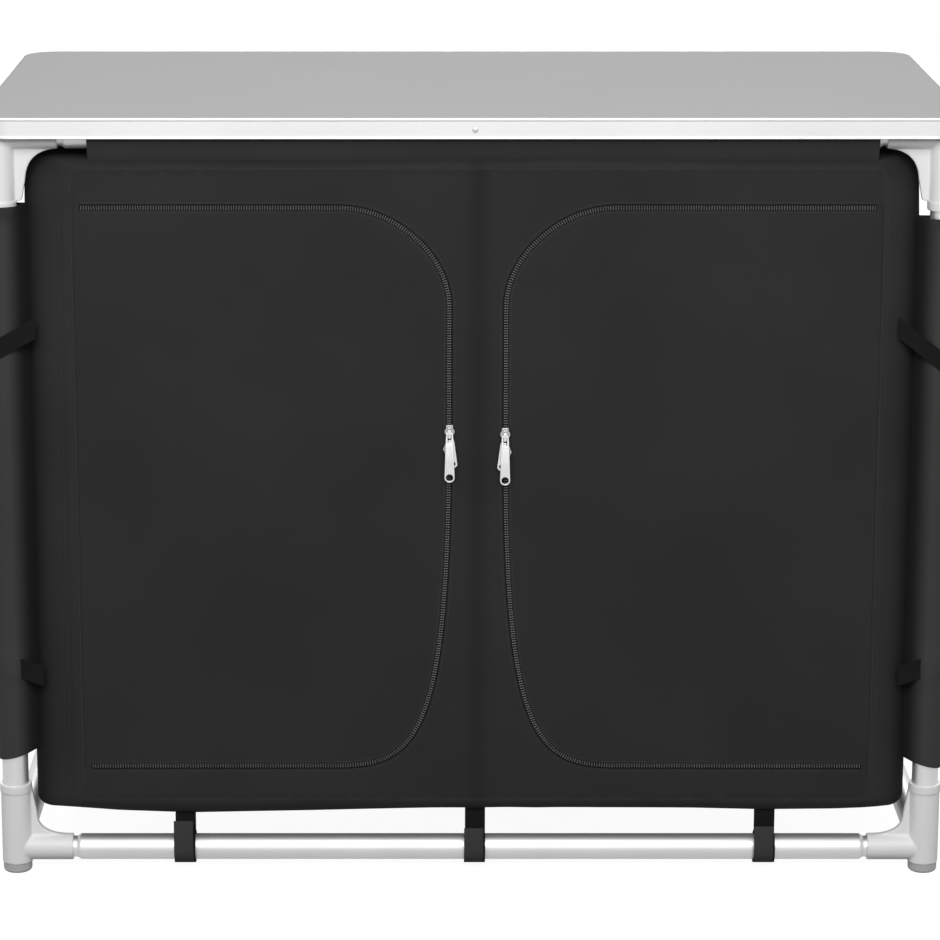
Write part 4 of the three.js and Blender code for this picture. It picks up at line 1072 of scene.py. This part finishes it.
# Leg sleeves: tubes of the cabinet's cloth round the four legs, each sewn to the cabinet's side along one edge.
# Their lower ends are cut up towards the cabinet. The left ones reach up over the sockets' lips.
SLEEVE_RADIUS = 14.95
SLEEVE_ROWS = 84
WIDENED_FROM_Z = 698
LOWER_TIE_Z, LOWER_TIE_SLOPE = 222, -0.3
TIE_START_X = 455
sleeve_section = loop_section(SLEEVE_RADIUS, SEAM_GAP, -29, taut=True)
length = path_lengths(sleeve_section)
for number, (end, side, x_sign, y_sign) in enumerate(CORNERS):
    low, high = (124, 709) if side == "left" else (114.5, 696)
    points, places = [], []
    for row in range(SLEEVE_ROWS + 1):
        share = row / SLEEVE_ROWS
        for (a, b), s in zip(sleeve_section, length):
            inward = (15 - b) / 44
            z = low + (high - low) * share + 11 * inward * (1 - share) ** 6
            wave = float(ripple(np.array(s * 2.4 + 40 * x_sign), np.array(z * 1.1), 41 + number))
            tie_z = LOWER_TIE_Z - LOWER_TIE_SLOPE * (LEG_X + b - TIE_START_X)
            over_tie = 2.1 * math.exp(-(((z - tie_z) / 16) ** 4))
            over_socket = 3.3 * min(1, max(0, (z - WIDENED_FROM_Z) / 4))
            loose = min(1, max(0, (b + 22) / 12))
            grown = 1 + (0.02 * (wave + 0.3) + (over_tie + over_socket) / SLEEVE_RADIUS) * loose
            back = max(0, -13 - b) * 0.6
            points.append((x_sign * (LEG_X + b * grown), y_sign * (LEG_Y - back) + a * grown, z))
            places.append((s, z))
    faces = tube_faces(SLEEVE_ROWS + 1, len(sleeve_section), False, False)
    # Painted shade: each sleeve darkens towards the cabinet, and in a band along its top hem.
    toward = np.array([(LEG_X - x_sign * x) / 15 for x, y, z in points])
    painted_hem_shade = [0.3 * (abs(z - high) < 9) for x, y, z in points]
    name = f"{end}_{side}"
    sleeve = add_cloth(f"leg_cover_{name}", points, flipped(faces) if x_sign < 0 else faces, np.array(places),
                       painted_light_cloth, thickness=1.1, painted_shade=np.maximum(np.clip(toward * 1.05 - 0.37, 0, 1), painted_hem_shade),
                       stands_for=[f"leg_sleeve_{name}"], slot="charcoal_fabric")


# Webbing ties: black woven polyester, 21 mm wide. Two at each side run along the cabinet and out round the legs,
# and their ends are sewn to its front and rear edges. The lower ones pass under the leg sleeves' cloth.
BAND_COLUMNS = [k / 8 - 0.5 for k in range(9)]
WEBBING_WIDTH = 21


def add_band(name, path, across, width, flip, material, **settings):
    """A band of webbing or cloth that runs along a path."""
    path, across = np.asarray(path, float), np.asarray(across, float)
    points = np.stack([path + across * width * share for share in BAND_COLUMNS], axis=1).reshape(-1, 3)
    places = [(s, width * share) for s in path_lengths(path) for share in BAND_COLUMNS]
    faces = tube_faces(len(path), len(BAND_COLUMNS), False, False)
    add_cloth(name, points, flipped(faces) if flip else faces, np.array(places), material, **settings)


webbing = weave_material("black_webbing", grey(0.008), grey(0.014), 0.0016, 0.75)
for level, side, x_sign, height, slope, radius, sewn_x in (
    ("upper", "left", -1, 577, 0.54, 17.0, 441),
    ("lower", "left", -1, LOWER_TIE_Z, LOWER_TIE_SLOPE, 15.2, 441),
    ("upper", "right", 1, 567, 0.78, 17.0, 431),
    ("lower", "right", 1, LOWER_TIE_Z, LOWER_TIE_SLOPE, 15.2, 441),
):
    half = [(sewn_x, -241.4), (452, -241.2), (458, -LEG_Y - radius + 1.2)]
    half += [(LEG_X + radius * math.cos(a), -LEG_Y + radius * math.sin(a))
             for a in np.linspace(-math.pi / 2 - 0.5, math.pi / 2, 18)]
    half += [(464, -LEG_Y + radius + 3), (456.8, -LEG_Y + 34), (456.2, -120), (456.2, -40)]
    plan = smooth_path(half + [(x, -y) for x, y in reversed(half)], 5)
    path = [(x_sign * x, y, height - slope * (x - TIE_START_X)) for x, y in plan]
    name = f"{level}_{side}"
    add_band(f"tie_{name}", path, (0, 0, 1), WEBBING_WIDTH, x_sign < 0, webbing, thickness=1.5,
             stands_for=[f"tie_strap_{name}"], slot="black_webbing")

# Bottom straps: the same webbing in loops round the front and rear lower rails, sewn under the cabinet's floor.
# A patch of the cabinet's cloth covers the outer side of each loop.
STRAP_OVERLAP = 3.6
PATCH_RADIUS, PATCH_WIDTH = 17.0, 20
for end, y_sign in ENDS:
    for place, x, patch_top in (("left", -298, 33.5), ("centre", 5, 25.5), ("right", 308, 27.5)):
        floor_z = float(np.interp(x, SAG_X, SAG_Z)) + STRAP_OVERLAP
        strap_section = loop_section(15.4, 1.9, BOTTOM_RAIL_Z - floor_z)
        path = [(x, y_sign * (LEG_Y + y), BOTTOM_RAIL_Z - z) for y, z in strap_section]
        name = f"{end}_{place}"
        add_band(f"strap_{name}", path, (1, 0, 0), WEBBING_WIDTH, y_sign > 0, webbing, thickness=1.5,
                 stands_for=[f"bottom_strap_{name}"], slot="black_webbing")
        patch = [(PATCH_RADIUS, patch_top), (17.4, patch_top * 0.6), (17.3, 6)]
        patch += [(PATCH_RADIUS * math.cos(a), PATCH_RADIUS * math.sin(a)) for a in np.linspace(0, -2.0, 14)]
        path = [(x - 1.5, y_sign * (LEG_Y + y), BOTTOM_RAIL_Z + z) for y, z in smooth_path(patch, 2.5)]
        # The patch is drawn in the lighter copy of the cloth: painted light.
        add_band(f"strap_patch_{name}", path, (1, 0, 0), PATCH_WIDTH, y_sign < 0, painted_light_cloth,
                 slot="charcoal_fabric")
